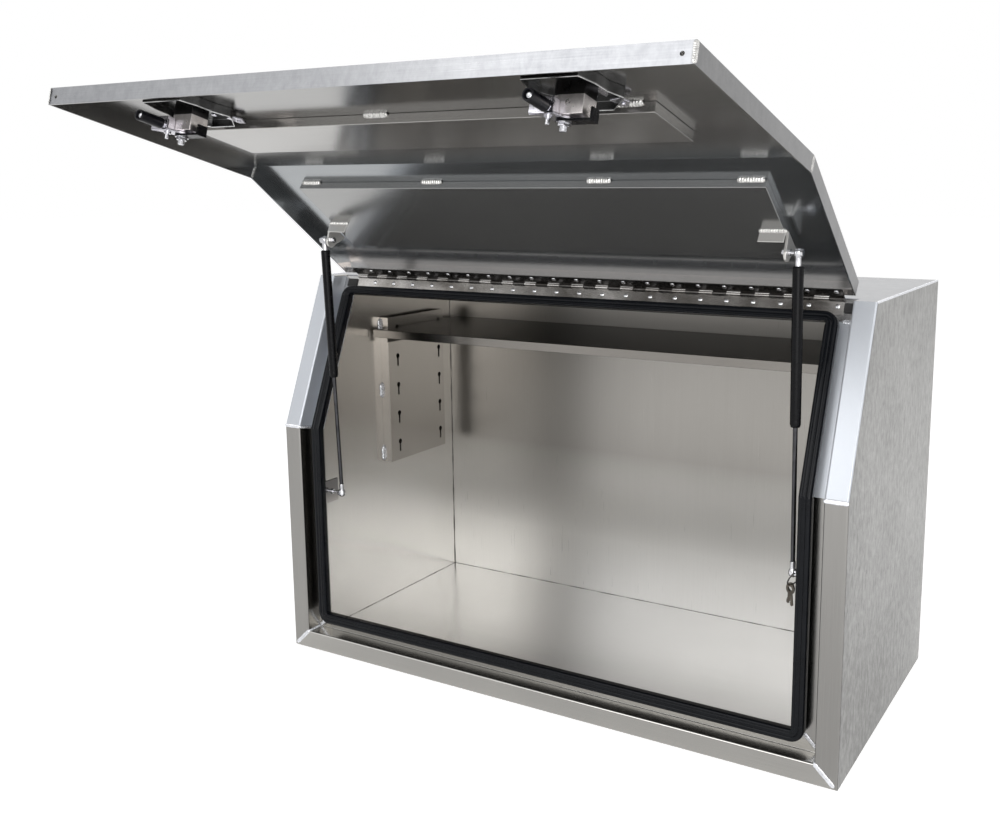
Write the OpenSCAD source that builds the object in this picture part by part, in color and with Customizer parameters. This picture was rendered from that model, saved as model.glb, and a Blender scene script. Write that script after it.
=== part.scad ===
// Aluminium toolbox with a one-piece lift-up door: a folded sheet body with a
// recessed and sealed mouth, a cranked door on a long piano hinge, two gas
// struts, two roller-cam locks, a shelf in keyhole brackets and a ring of keys.
// Shown as it stands with the door held open. Millimetres.
// X is the width, Y runs from front to back and Z is up. The origin is the
// centre of the body's underside.

/* [Body] */
// Width of the body
body_w = 1200; // [1000:10:1500]
// Depth of the body
body_d = 600; // [500:10:800]
// Height of the body
body_h = 800; // [780:5:900]
// Height at which the front starts to lean back
knee_h = 492; // [470:2:510]
// How far the top edge of the front is set back
top_setback = 126; // [110:2:140]
// Thickness of the body and door sheet
sheet_t = 2.5; // [2:0.1:3]

/* [Mouth of the body] */
// Width of the frame's front strips at the sides
strip_w = 40; // [34:1:50]
// Height of the frame's front strip at the bottom
sill_h = 38; // [32:1:44]
// Depth from the front strips to the flange that the recess ends in
recess_d = 38; // [36:1:42]
// Width of that flange
flange_w = 33.5; // [30:0.5:36]
// How far the lip on the flange's inner edge stands forward
lip_reach = 26; // [22:1:30]
// Distance down the slope from the top edge to the end of the head flange
head_drop = 26.25; // [25:0.25:32]
// Length of the head rail's tab under the top panel
head_tab = 30; // [15:1:50]
// Gap between the front edge of the top panel and the hinge knuckles
top_gap = 0.8; // [0.5:0.1:3]

/* [Door seal] */
// Thickness of the seal on the inner side of the lip
seal_in = 6.9; // [4:0.1:8]
// Thickness of the seal on the outer side of the lip
seal_out = 6; // [3:0.1:6.5]
// Thickness of the seal in front of the lip
seal_head = 3.7; // [2:0.1:5]
// Depth of the seal from its front to its open edge
seal_len = 12.4; // [9:0.1:15]
// Inner radius of the lip line that the seal's corners follow
seal_corner_r = 14; // [10:1:20]
// Chamfer on the seal's front edges
seal_chamfer = 1.4; // [0.4:0.1:1.8]
// Gap at the knee between the seal's lower and upper length
seal_joint = 0.2; // [0.1:0.1:1]

/* [Door] */
// Gap between the door's side and the recess
door_gap = 5; // [3:0.5:8]
// Gap between the sill strip and the door's bottom edge
door_bottom_gap = 6; // [3:0.5:9]
// How far the door's skin lies behind the front strips
door_set = 3.5; // [2:0.5:5]
// How far the door reaches above the slope's top edge
door_over = 4.67; // [3:0.1:6]
// Depth of the door's returns behind its skin
door_return = 25; // [22:0.5:26]
// Width of the lip at the top of the door, which the hinge is riveted to
door_lip_w = 19; // [17:0.5:20]
// Angle to which the door is held open
open_angle = 105; // [90:1:110]
// Diameter of the drain holes in the door's bottom return
drain_d = 6; // [3:0.5:10]
// Distance of the drain holes from the door's side
drain_inset = 16; // [10:1:60]

/* [Door stiffeners] */
// Height of the stiffening trays that are welded on the door's skin
tray_h = 15; // [8:0.5:18]
// Thickness of the trays' sheet
tray_t = 2; // [1:0.1:3]
// Distance from the door's side to the lower tray's end
low_tray_inset = 131; // [110:1:240]
// Bottom and top edge of the lower tray on the upright part of the door
low_tray_from = 227; // [224:1:240]
// Height of the lower tray
low_tray_h = 130; // [60:2:180]
// Distance from the door's side to the upper tray's end
top_tray_inset = 83; // [81:1:115]
// Distance down the slope to the upper tray's top edge
top_tray_from = 86; // [60:2:100]
// Length of the upper tray down the slope
top_tray_h = 194; // [150:2:220]

/* [Hinge] */
// Diameter of the hinge pin
pin_d = 4; // [3:0.1:4.4]
// Outer diameter of the hinge knuckles
knuckle_d = 7; // [6.6:0.1:8]
// Thickness of the hinge leaves
leaf_t = 1.5; // [1:0.1:2]
// Height of the pin above the slope's top edge, along the slope
pin_rise = 12.4; // [11:0.1:15]
// Running clearance of the pin in its knuckles, on the radius
pin_clear = 0.05; // [0.02:0.01:0.1]
// Distance from the body's left side to the hinge
hinge_from_left = 78; // [70:1:90]
// Distance from the body's right side to the hinge
hinge_from_right = 64; // [62:1:90]
// Number of knuckles
knuckle_count = 40; // [20:2:50]
// Gap between neighbouring knuckles
knuckle_gap = 0.4; // [0.2:0.1:1]
// How far the body leaf reaches down the slope from the top edge
body_leaf_drop = 15; // [12:0.5:16]
// Pitch of the hinge rivets
rivet_pitch = 50; // [25:1:100]
// Distance from the hinge's end to the first rivet
rivet_from_end = 47; // [10:1:48]
// Diameter of the rivets' shanks
rivet_d = 4.8; // [3:0.1:5]
// Diameter of the rivets' heads
rivet_head_d = 8.4; // [6:0.1:9]
// Height of the rivets' heads
rivet_head_h = 1.2; // [0.6:0.1:1.4]

/* [Struts] */
// Distance from the body's side to each strut
strut_from_side = 104; // [100:1:106]
// Depth of the lower ball behind the front
strut_low_y = 53; // [50:1:60]
// Height of the lower ball
strut_low_z = 344.3; // [335:0.1:355]
// Distance of the upper ball down the slope
strut_top_v = 143.8; // [138:0.1:150]
// Depth of the upper ball behind the front
strut_top_d = 47.2; // [44:0.1:50]
// Diameter of the strut's tube
tube_d = 18; // [15:0.5:19]
// Wall of the strut's tube
tube_wall = 1.5; // [1:0.1:2.5]
// Length of the strut's tube
tube_len = 265; // [240:1:268]
// Diameter of the strut's rod
rod_d = 8; // [6:0.5:10]
// Running clearance of the rod in its gland, on the radius
rod_clear = 0.05; // [0.02:0.01:0.1]
// Diameter of the balls
ball_d = 10; // [8:0.1:10.6]
// Outer diameter of the ball sockets
socket_d = 15; // [13.5:0.1:15.2]
// Length from the ball's centre to the end of its socket
socket_len = 20; // [14:0.5:22]
// Gap between a ball and its socket
socket_clear = 0.3; // [0.2:0.05:0.4]
// Diameter of the ball studs' necks
neck_d = 6; // [4:0.1:7]

/* [Strut brackets] */
// Thickness of the upper brackets' side plates
top_plate_t = 4.5; // [3:0.5:6]
// Distance from the upper ball's centre to its bracket's outer face
stud_reach = 16; // [14:0.5:18]
// Thickness of the lower brackets' plates
low_plate_t = 4; // [3:0.5:6]
// Width of the lower bracket's plate, from front to back
low_plate_w = 45; // [36:1:60]
// Height of the lower bracket's plate
low_plate_h = 48; // [30:1:70]
// Length of the upper bracket's foot across the tray
top_foot_w = 44; // [20:1:60]

/* [Locks] */
// Distance from the door's side to each lock
lock_inset = 210; // [155:1:255]
// Height of the locks with the door shut
lock_z = 135; // [134:0.5:138]
// Depth of the lock dishes behind the skin
dish_d = 15; // [10:0.5:18]
// Wall of the lock dishes
dish_wall = 2; // [1:0.1:3]
// Radius of the lock housing's round end
housing_r = 16.5; // [14:0.5:18]
// Length from the lock's axis to the housing's flat end
housing_len = 34; // [24:1:36]
// Depth behind the front at which the housing ends
housing_end = 55; // [52:0.5:56]
// Diameter of the lock's spindle
spindle_d = 14; // [12:0.5:15]
// Diameter of the spindle's threaded end
spindle_end_d = 10; // [8:0.5:11]
// Running clearance of the spindle and the key barrel, on the radius
lock_clear = 0.07; // [0.03:0.01:0.1]
// Thickness of the cam and the lever plates
cam_t = 3; // [2:0.5:4]
// Diameter of the locking roller
roller_d = 17; // [14:0.5:18]
// Length of the locking roller
roller_len = 43; // [30:1:50]
// Diameter of the bolt that the roller turns on
roller_bolt_d = 8; // [6:0.5:9]
// Sideways offset of the roller from the lock's axis
roller_offset = 9; // [6:0.5:12]
// Distance from the lock's axis to the roller's near end
roller_from = 35; // [33:0.5:38]
// Gap between the locking roller and the back of the mouth's flange
roller_gap = 1; // [0.5:0.5:3]
// Length of the door handle
handle_len = 120; // [80:1:160]
// Width of the door handle
handle_w = 24; // [18:1:32]
// Thickness of the door handle
handle_t = 9; // [6:0.5:12]
// Diameter of the key barrel
barrel_d = 13; // [10:0.5:16]

/* [Shelf] */
// Height of the shelf's upper face
shelf_z = 663; // [640:1:670]
// Depth of the shelf from front to back
shelf_d = 310; // [260:1:340]
// Gap between the shelf and the back panel
shelf_back_gap = 2.5; // [1:0.5:10]
// Height of the shelf's folded front lip
shelf_lip = 18; // [12:1:22]
// Depth of the wings that cover the front ends of the brackets
wing_d = 20; // [12:1:28]
// Gap between a wing and the body's side
wing_gap = 7.5; // [2:0.5:15]
// Distance from the body's back face to the brackets
bracket_from_back = 65; // [60:1:80]
// Width of the shelf brackets from front to back
bracket_w = 215; // [200:1:230]
// Height of the shelf brackets
bracket_h = 345; // [340:1:360]
// Height of the brackets' lower ends above the floor
bracket_z = 342; // [330:1:342]
// How far the brackets stand off the side panels
bracket_stand = 22.5; // [18:0.5:26]
// Number of rows of keyholes
keyhole_rows = 5; // [2:1:5]
// Pitch of the rows of keyholes
keyhole_pitch = 69; // [50:1:70]
// Diameter of a keyhole's head
keyhole_d = 12; // [11:0.1:14]
// Width of a keyhole's slot
keyhole_slot = 5.6; // [5.4:0.1:7]
// Distance from a keyhole's head to the bottom of its slot
keyhole_drop = 22; // [18:1:26]
// Distance of the front column of keyholes from the bracket's front edge
keyhole_inset = 34; // [14:1:60]
// Distance of the back column of keyholes from the bracket's back edge
keyhole_back_inset = 19; // [14:1:60]
// Diameter of the heads on the shelf's lugs
lug_head_d = 10; // [8:0.1:10.6]

/* [Keys] */
// Outer diameter of the key ring
ring_d = 28; // [24:1:34]
// Thickness of the key ring's wire
ring_wire_d = 1.6; // [1:0.1:2.4]
// Length of the keys
key_len = 40; // [30:1:55]
// Diameter of the keys' bows
key_bow_d = 20; // [15:1:22]

/* [Hidden] */

LEFT = -1;
RIGHT = 1;
ALUMINIUM = [0.78, 0.79, 0.80];
INNER_ALUMINIUM = [0.74, 0.73, 0.70];
WELD = [0.86, 0.86, 0.85];
BLACK_RUBBER = [0.07, 0.07, 0.08];
ZINC = [0.70, 0.70, 0.66];
STEEL = [0.62, 0.62, 0.63];
BLACK_PAINT = [0.05, 0.05, 0.05];
CHROME = [0.85, 0.85, 0.86];
KEY_BRASS = [0.62, 0.60, 0.52];

$fn = 48;
half_w = body_w / 2;
through = 1;

// The slope: its angle from upright, and points given by the distance v down
// the slope from the top edge and the depth d behind the front strips.
lean = atan(top_setback / (body_h - knee_h));
slope_len = (body_h - knee_h) / cos(lean);
function knee_at(d) = [d, knee_h - d * tan(lean / 2)];
function slope_at(v, d) = [
    top_setback - v * sin(lean) + d * cos(lean),
    body_h - v * cos(lean) - d * sin(lean)
];
function slope_at_z(z, d) = [top_setback + d / cos(lean) + (z - body_h) * tan(lean), z];

// The mouth
mouth_half_w = half_w - strip_w;
lip_x = mouth_half_w - flange_w;
lip_z = sill_h + flange_w;
lip_front = recess_d - lip_reach;
flange_back = recess_d + sheet_t;
lip_root = recess_d + sheet_t / 2;
lip_past_corner = 6;
lip_relief = seal_corner_r + lip_past_corner;
inner_top = body_h - sheet_t;

// The seal's section, as pairs of the distance outward from the lip's inner
// face and the depth behind the front strips
seal_front = lip_front - seal_head;
seal_back = seal_front + seal_len;
seal_edge = sheet_t + seal_out;
seal_outline = [
    [-seal_in, seal_back], [-seal_in, seal_front + seal_chamfer],
    [-seal_in + seal_chamfer, seal_front], [seal_edge - seal_chamfer, seal_front],
    [seal_edge, seal_front + seal_chamfer], [seal_edge, seal_back],
    [sheet_t, seal_back], [sheet_t, lip_front], [0, lip_front], [0, seal_back]
];

// Weld beads: the radius and rise of a low one, and the radius of one in a corner
bead_r = 4;
bead_rise = 1;
fillet_r = 4;
bracket_stitch = 30;
bracket_stitch_at = [0.94, 0.5, 0.06];
door_stitch = 36;
low_stitch_at = [-0.905, -0.094, 0.905];
top_stitch_at = [-0.945, -0.337, 0.386, 0.945];

// The door
door_half_w = mouth_half_w - door_gap;
door_bottom = sill_h + door_bottom_gap;
skin_inner = door_set + sheet_t;
return_end = skin_inner + door_return;
lip_v = door_lip_w - door_over;
corner_gap = 0.5;
fold_step = 0.05;
low_tray_half_w = door_half_w - low_tray_inset;
top_tray_half_w = door_half_w - top_tray_inset;

// The hinge
knuckle_r = knuckle_d / 2;
pin_r = pin_d / 2;
leaf_gap = 0.3;
pin_depth = recess_d - knuckle_r - leaf_gap;
pin_yz = slope_at(-pin_rise, pin_depth);
hinge_left = -half_w + hinge_from_left;
hinge_right = half_w - hinge_from_right;
knuckle_pitch = (hinge_right - hinge_left) / knuckle_count;
leaf_clear = 0.6;
leaf_clear_drop = knuckle_r + leaf_clear;
rivet_count = floor((hinge_right - hinge_left - rivet_from_end - rivet_head_d / 2) / rivet_pitch) + 1;
rivet_tail_h = 1.6;
door_rivet_inset = 8;
door_rivet_v = lip_v - door_rivet_inset;
plug_t = 4.4;
plug_gap = 1;
plug_top = 6;
plug_bottom = 11;
left_plug_w = 25;
right_plug_w = 20;

// The struts: where the upper ball is with the door shut and with it open
function turned(p, c, a) = [
    c[0] + (p[0] - c[0]) * cos(a) - (p[1] - c[1]) * sin(a),
    c[1] + (p[0] - c[0]) * sin(a) + (p[1] - c[1]) * cos(a)
];
strut_x = half_w - strut_from_side;
ball_open = turned(slope_at(strut_top_v, strut_top_d), pin_yz, -open_angle);
strut_run = [ball_open[0] - strut_low_y, ball_open[1] - strut_low_z];
strut_len = norm(strut_run);
strut_lean = atan2(-strut_run[0], strut_run[1]);
ball_r = ball_d / 2;
neck_r = neck_d / 2;
socket_r = socket_d / 2;
tube_r = tube_d / 2;
rod_r = rod_d / 2;
stub_r = 5;
tube_top = strut_len - socket_len - 1;
tube_bottom = tube_top - tube_len;
gland_len = 10;
piston_len = 8;
tube_cap_t = 3;
piston_from = tube_bottom + gland_len + 10;
socket_mouth_r = neck_r + 1.2;

// The strut brackets
low_plate_x = lip_x - low_plate_t;
low_plate_front = lip_front + seal_len + 1;
low_plate_below = 22;
low_plate_z = strut_low_z - low_plate_below;
top_plate_out = strut_x - stud_reach;
top_plate_x = top_plate_out - top_plate_t;
top_plate_base = 50;
top_plate_neck_half = 11;
top_plate_neck_out = 5;
top_plate_eye_r = 12.5;
top_plate_eye_out = 3;
tray_face = skin_inner + tray_h;
collar_r = 5.5;
collar_t = 3.2;
nut_r = 6.4;
nut_t = 5;
stud_past_nut = 2;
stud_gap = 0.3;
foot_v = strut_top_v + 19.2;
foot_t = 2.5;
foot_d = 21;

// The locks
lock_x = door_half_w - lock_inset;
spindle_r = spindle_d / 2;
spindle_end_r = spindle_end_d / 2;
spindle_hole_r = spindle_r + 1;
plate_out = 2;
handle_gap = 0.4;
handle_face = door_set - plate_out - handle_gap;
hub_r = 15;
hub_step = 2;
barrel_r = barrel_d / 2;
barrel_depth = 7;
barrel_proud = 1;
key_slot_w = 2;
key_slot_len = 8;
key_slot_floor = 2;
cam_from = housing_end + 0.5;
lever_from = cam_from + cam_t;
nut_from = lever_from + cam_t;
spindle_past_nut = 7;
spindle_nut_wall = 3.5;
spindle_seat_gap = 0.3;
spindle_tip = nut_from + nut_t + spindle_past_nut;
cam_disc_r = 14;
cam_wing = [[12, -10], [30, -2], [30, 4], [10, 11], [-12, 8]];
tongue_len = 20;
tongue_slot_w = 4;
tongue_slot_from = 8;
tongue_slot_to = 17;
lever_r = 11;
lever_half_w = 9;
lever_past = 10;
lever_hook = 14;
roller_r = roller_d / 2;
roller_bolt_r = roller_bolt_d / 2;
roller_depth = flange_back + roller_gap + roller_r;
tab_z = roller_from - nut_t - 1;
tab_half_w = 10;
tab_top = roller_depth - 12;
bolt_head_r = 5.6;
bolt_head_t = 3.5;
bolt_gap = 0.3;
bolt_past_nut = 3;
roller_recess = 6;
roller_recess_r = bolt_head_r + 0.6;

// The shelf
shelf_back = body_d - sheet_t - shelf_back_gap;
shelf_front = shelf_back - shelf_d;
bracket_back = body_d - bracket_from_back;
bracket_front = bracket_back - bracket_w;
side_inner = half_w - sheet_t;
web_inner = side_inner - bracket_stand;
web_outer = web_inner + sheet_t;
shelf_end_gap = 2;
shelf_end = web_inner - shelf_end_gap;
shelf_flange = 33;
shelf_flange_gap = 8;
keyhole_top_z = shelf_z - 0.5;
keyhole_columns = [bracket_front + keyhole_inset, bracket_back - keyhole_back_inset];
lug_r = keyhole_slot / 2 - 0.3;
lug_z = keyhole_top_z - keyhole_drop;
lug_head_gap = 0.5;
lug_head_t = 2;

// The keys
ring_wire_r = ring_wire_d / 2;
ring_r = ring_d / 2 - ring_wire_r;
ring_gap = 0.2;
ring_turn = 60;
ring_from_ball = 5.5;
ring_x = strut_x + ball_r + ring_from_ball;
ring_z = strut_low_z + neck_r + ring_wire_r + ring_gap - ring_r;
key_t = 1.8;
key_gap = 0.4;
key_blade_w = 8;
key_eye_slack = 1.4;
key_eye_wall = 1.6;
key_turns = [-10, 14];

// Places the front frame of reference, whose Y starts at the body's front.
module placed() {
    translate([0, -body_d / 2, 0]) children();
}

// Turns what is drawn for the shut door about the hinge pin to where it stands.
module on_door() {
    placed()
        translate([0, pin_yz[0], pin_yz[1]])
            rotate([-open_angle, 0, 0])
                translate([0, -pin_yz[0], -pin_yz[1]])
                    children();
}

// Leans back onto the slope: X across, Y the depth behind it, Z up the slope.
module on_slope() {
    translate([0, top_setback, body_h]) rotate([-lean, 0, 0]) children();
}

// Draws what is made for the right side on the side that is asked for.
module on_side(side) {
    mirror([side < 0 ? 1 : 0, 0, 0]) children();
}

module both_sides() {
    on_side(LEFT) children();
    on_side(RIGHT) children();
}

// Carries a profile drawn in Y and Z along X.
module along_x(from, to) {
    translate([from, 0, 0]) rotate([90, 0, 90]) linear_extrude(to - from) children();
}

// A block given by its lowest and highest corners.
module block(low, high) {
    translate(low) cube(high - low);
}

// A rod along X, along Y or along Z, from one place to another.
module rod_x(r, from, to, y = 0, z = 0) {
    translate([from, y, z]) rotate([0, 90, 0]) cylinder(r = r, h = to - from);
}

module rod_y(r, from, to, x = 0, z = 0) {
    translate([x, from, z]) rotate([-90, 0, 0]) cylinder(r = r, h = to - from);
}

module rod_z(r, from, to, x = 0, y = 0) {
    translate([x, y, from]) cylinder(r = r, h = to - from);
}

// Bands between two depths, below and above the knee.
module lower_band(d0, d1, z0) {
    polygon([[d0, z0], knee_at(d0), knee_at(d1), [d1, z0]]);
}

module upper_band(d0, d1, top0, top1) {
    polygon([knee_at(d0), top0, top1, knee_at(d1)]);
}

// The regions below and above the knee, which cut what runs down or up to it.
module below_knee() {
    along_x(0, half_w + through) lower_band(-through, flange_back + through, -through);
}

module above_knee() {
    along_x(0, half_w + through)
        upper_band(
            -through, flange_back + through,
            slope_at_z(body_h, -through), slope_at_z(body_h, flange_back + through)
        );
}

// A bar along the slope, given by two corners in X and depth, that starts below
// the knee and ends at the distance v down from the slope's top edge.
module slope_bar(low, high, v) {
    on_slope() block([low[0], low[1], -slope_len - flange_back], [high[0], high[1], -v]);
}

// Weld beads: a low one that lies on a face, along Z with the face at X = 0,
// and one that fills the corner between the faces X = 0 and Y = 0.
module flat_bead(len) {
    linear_extrude(len) intersection() {
        translate([bead_rise - bead_r, 0]) circle(bead_r);
        translate([0, -bead_r]) square([bead_r, 2 * bead_r]);
    }
}

module corner_bead(len) {
    linear_extrude(len) intersection() {
        circle(fillet_r);
        square(fillet_r);
    }
}

// Body panels
module floor_panel() {
    color(INNER_ALUMINIUM) placed()
        block([-side_inner, sheet_t, 0], [side_inner, body_d - sheet_t, sheet_t]);
}

module back_panel() {
    color(INNER_ALUMINIUM) placed()
        block([-half_w, body_d - sheet_t, 0], [half_w, body_d, body_h]);
}

module top_panel() {
    front = pin_yz[0] + knuckle_r + top_gap;
    color(ALUMINIUM) placed() difference() {
        along_x(-half_w, half_w)
            polygon([
                slope_at_z(inner_top, sheet_t), slope_at_z(body_h, sheet_t),
                [body_d - sheet_t, body_h], [body_d - sheet_t, inner_top]
            ]);
        block(
            [-mouth_half_w, 0, inner_top - through],
            [mouth_half_w, front, body_h + through]
        );
    }
}

module side_panel(side) {
    color(ALUMINIUM) placed() on_side(side) along_x(side_inner, half_w)
        polygon([
            [sheet_t, 0], knee_at(sheet_t), slope_at_z(inner_top, sheet_t),
            [body_d - sheet_t, inner_top], [body_d - sheet_t, 0]
        ]);
}

// The sill and the jambs meet on mitres that run inward from the bottom corners.
module sill_mitre() {
    translate([0, flange_back + through, 0]) rotate([90, 0, 0])
        linear_extrude(flange_back + 2 * through)
            polygon([
                [-half_w, 0], [half_w, 0], [mouth_half_w, sill_h], [lip_x, lip_z],
                [-lip_x, lip_z], [-mouth_half_w, sill_h]
            ]);
}

module sill_rail() {
    lip_half = lip_x - lip_relief;
    color(ALUMINIUM) placed() {
        intersection() {
            along_x(-half_w, half_w) {
                square([sheet_t, sill_h]);
                translate([0, sill_h - sheet_t]) square([flange_back, sheet_t]);
                translate([recess_d, sill_h - sheet_t])
                    square([sheet_t, lip_z - sill_h + sheet_t]);
            }
            sill_mitre();
        }
        block([-lip_half, lip_front, lip_z - sheet_t], [lip_half, lip_root, lip_z]);
    }
}

module lower_jamb(side) {
    wall_x = mouth_half_w + sheet_t;
    color(ALUMINIUM) placed() on_side(side) intersection() {
        union() {
            difference() {
                union() {
                    block([mouth_half_w, 0, 0], [half_w, sheet_t, body_h]);
                    block([mouth_half_w, 0, 0], [wall_x, flange_back, body_h]);
                    block([lip_x, recess_d, 0], [wall_x, flange_back, body_h]);
                }
                sill_mitre();
            }
            block([lip_x, lip_front, lip_z + lip_relief], [lip_x + sheet_t, lip_root, body_h]);
        }
        below_knee();
    }
}

module upper_jamb(side) {
    wall_x = mouth_half_w + sheet_t;
    color(ALUMINIUM) placed() on_side(side) intersection() {
        union() {
            slope_bar([mouth_half_w, 0], [half_w, sheet_t], -flange_back);
            intersection() {
                slope_bar([mouth_half_w, sheet_t], [wall_x, flange_back], -flange_back);
                block([0, -through, 0], [half_w, body_d, inner_top]);
            }
            slope_bar([lip_x, recess_d], [mouth_half_w, flange_back], head_drop);
            slope_bar([lip_x, lip_front], [lip_x + sheet_t, lip_root], head_drop + lip_relief);
        }
        above_knee();
    }
}

module header_rail() {
    lip_half = lip_x - lip_relief;
    lip_low = head_drop - fold_step;
    lip_high = head_drop - sheet_t;
    tab_front = slope_at_z(inner_top, lip_root)[0];
    color(ALUMINIUM) placed() difference() {
        union() {
            along_x(-mouth_half_w, mouth_half_w) {
                polygon([
                    slope_at(head_drop, recess_d), slope_at_z(inner_top, recess_d),
                    slope_at_z(inner_top, flange_back), slope_at(head_drop, flange_back)
                ]);
                translate([tab_front, inner_top - sheet_t]) square([head_tab, sheet_t]);
            }
            along_x(-lip_half, lip_half)
                polygon([
                    slope_at(lip_low, lip_front), slope_at(lip_high, lip_front),
                    slope_at(lip_high, lip_root), slope_at(lip_low, lip_root)
                ]);
        }
        on_slope() rivet_holes(0);
    }
}

// Weld beads on the body: across the strips at the knee and at the sill's
// mitres, beside the head flange, and in stitches along the shelf brackets.
module body_welds() {
    mitre = atan2(sill_h, strip_w);
    mitre_len = norm([strip_w, sill_h]);
    butt_from = lip_x + seal_out + sheet_t;
    color(WELD) placed() both_sides() {
        difference() {
            rod_x(bead_rise + 1, mouth_half_w, half_w, knee_at(0)[0], knee_at(0)[1]);
            along_x(mouth_half_w - through, half_w + through) {
                lower_band(0, body_d / 2, 0);
                upper_band(0, body_d / 2, slope_at_z(body_h, 0), slope_at_z(body_h, body_d / 2));
            }
        }
        intersection() {
            translate([half_w, 0, 0]) rotate([0, -90 + mitre, 0]) rotate([0, 0, -90])
                flat_bead(mitre_len);
            block([0, -bead_r, 0], [half_w, bead_r, sill_h]);
        }
        on_slope() translate([butt_from, recess_d, -head_drop])
            rotate([0, 90, 0]) rotate([0, 0, -90])
                flat_bead(mouth_half_w - butt_from);
        for (part = bracket_stitch_at)
            translate([side_inner, bracket_front, bracket_z + part * bracket_h - bracket_stitch / 2])
                rotate([0, 0, 180]) corner_bead(bracket_stitch);
    }
}

// The seal wraps the lip all round and turns the corners on a radius.
module seal_corner(from) {
    rotate([90, 0, 0]) rotate([0, 0, from]) rotate_extrude(angle = 90, $fn = 96)
        polygon([for (p = seal_outline) [seal_corner_r + p[0], -p[1]]]);
}

module door_seal() {
    side_profile = [for (p = seal_outline) [lip_x + p[0], p[1]]];
    corner_x = lip_x - seal_corner_r;
    color(BLACK_RUBBER) placed() {
        along_x(-corner_x, corner_x)
            polygon([for (p = seal_outline) [p[1], lip_z - p[0]]]);
        on_slope() along_x(-corner_x, corner_x)
            polygon([for (p = seal_outline) [p[1], p[0] - head_drop]]);
        both_sides() {
            intersection() {
                translate([0, 0, lip_z + seal_corner_r])
                    linear_extrude(knee_h - lip_z) polygon(side_profile);
                translate([0, 0, -seal_joint / 2]) along_x(0, half_w) lower_band(0, recess_d, 0);
            }
            intersection() {
                on_slope() translate([0, 0, -slope_len - recess_d])
                    linear_extrude(slope_len + recess_d - head_drop - seal_corner_r)
                        polygon(side_profile);
                translate([0, 0, seal_joint / 2]) along_x(0, half_w)
                    upper_band(
                        0, recess_d, slope_at_z(body_h, 0), slope_at_z(body_h, recess_d)
                    );
            }
            translate([corner_x, 0, lip_z + seal_corner_r]) seal_corner(-90);
            on_slope() translate([corner_x, 0, -head_drop - seal_corner_r]) seal_corner(0);
        }
    }
}

// Hinge: leaves, knuckles, pin and rivets, all in the slope's directions
module each_rivet() {
    for (i = [0 : rivet_count - 1])
        translate([hinge_left + rivet_from_end + i * rivet_pitch, 0, 0]) children();
}

module rivet_holes(v) {
    each_rivet()
        rod_y(rivet_d / 2, pin_depth - 2 * knuckle_r, flange_back + through, 0, -v, $fn = 24);
}

module leaf_plate(depth, v) {
    block([hinge_left, depth, -v], [hinge_right, depth + leaf_t, pin_rise - leaf_clear_drop]);
}

module knuckle_row(first, depth) {
    for (i = [first : 2 : knuckle_count - 1]) {
        from = hinge_left + i * knuckle_pitch + knuckle_gap / 2;
        to = from + knuckle_pitch - knuckle_gap;
        rod_x(knuckle_r, from, to, pin_depth, pin_rise);
        block(
            [from, depth, pin_rise - leaf_clear_drop - through],
            [to, depth + leaf_t, pin_rise]
        );
    }
}

module pin_bore() {
    rod_x(pin_r + pin_clear, hinge_left - through, hinge_right + through, pin_depth, pin_rise);
}

module hinge_body_leaf() {
    depth = recess_d - leaf_t;
    color(STEEL) placed() on_slope() difference() {
        union() {
            leaf_plate(depth, body_leaf_drop);
            knuckle_row(0, depth);
        }
        pin_bore();
        rivet_holes(0);
    }
}

module hinge_door_leaf() {
    color(STEEL) on_door() on_slope() difference() {
        union() {
            leaf_plate(return_end, lip_v);
            knuckle_row(1, return_end);
        }
        pin_bore();
        rivet_holes(door_rivet_v);
    }
}

module hinge_pin() {
    color(STEEL) placed() on_slope()
        rod_x(pin_r, hinge_left, hinge_right, pin_depth, pin_rise);
}

// A rivet along Y: its head in front of the face at zero, its tail past the grip.
module rivet(grip) {
    rotate([90, 0, 0])
        cylinder(r1 = rivet_head_d / 2, r2 = rivet_head_d / 3, h = rivet_head_h, $fn = 24);
    rod_y(rivet_d / 2, 0, grip, $fn = 24);
    rod_y(rivet_d / 2 + 1, grip, grip + rivet_tail_h, $fn = 24);
}

module hinge_body_rivets() {
    color(CHROME) placed() on_slope() each_rivet()
        translate([0, recess_d - leaf_t, 0]) rivet(leaf_t + sheet_t);
}

module hinge_door_rivets() {
    color(CHROME) on_door() on_slope() each_rivet()
        translate([0, return_end + leaf_t, -door_rivet_v]) mirror([0, 1, 0])
            rivet(leaf_t + sheet_t);
}

// Foam plugs that close the gap at the hinge's ends
module hinge_end_plugs() {
    color(BLACK_RUBBER) placed() on_slope() {
        block(
            [hinge_left - plug_gap - left_plug_w, recess_d - plug_t, -plug_bottom],
            [hinge_left - plug_gap, recess_d, plug_top]
        );
        block(
            [hinge_right + plug_gap, recess_d - plug_t, -plug_bottom],
            [hinge_right + plug_gap + right_plug_w, recess_d, plug_top]
        );
    }
}

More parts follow.
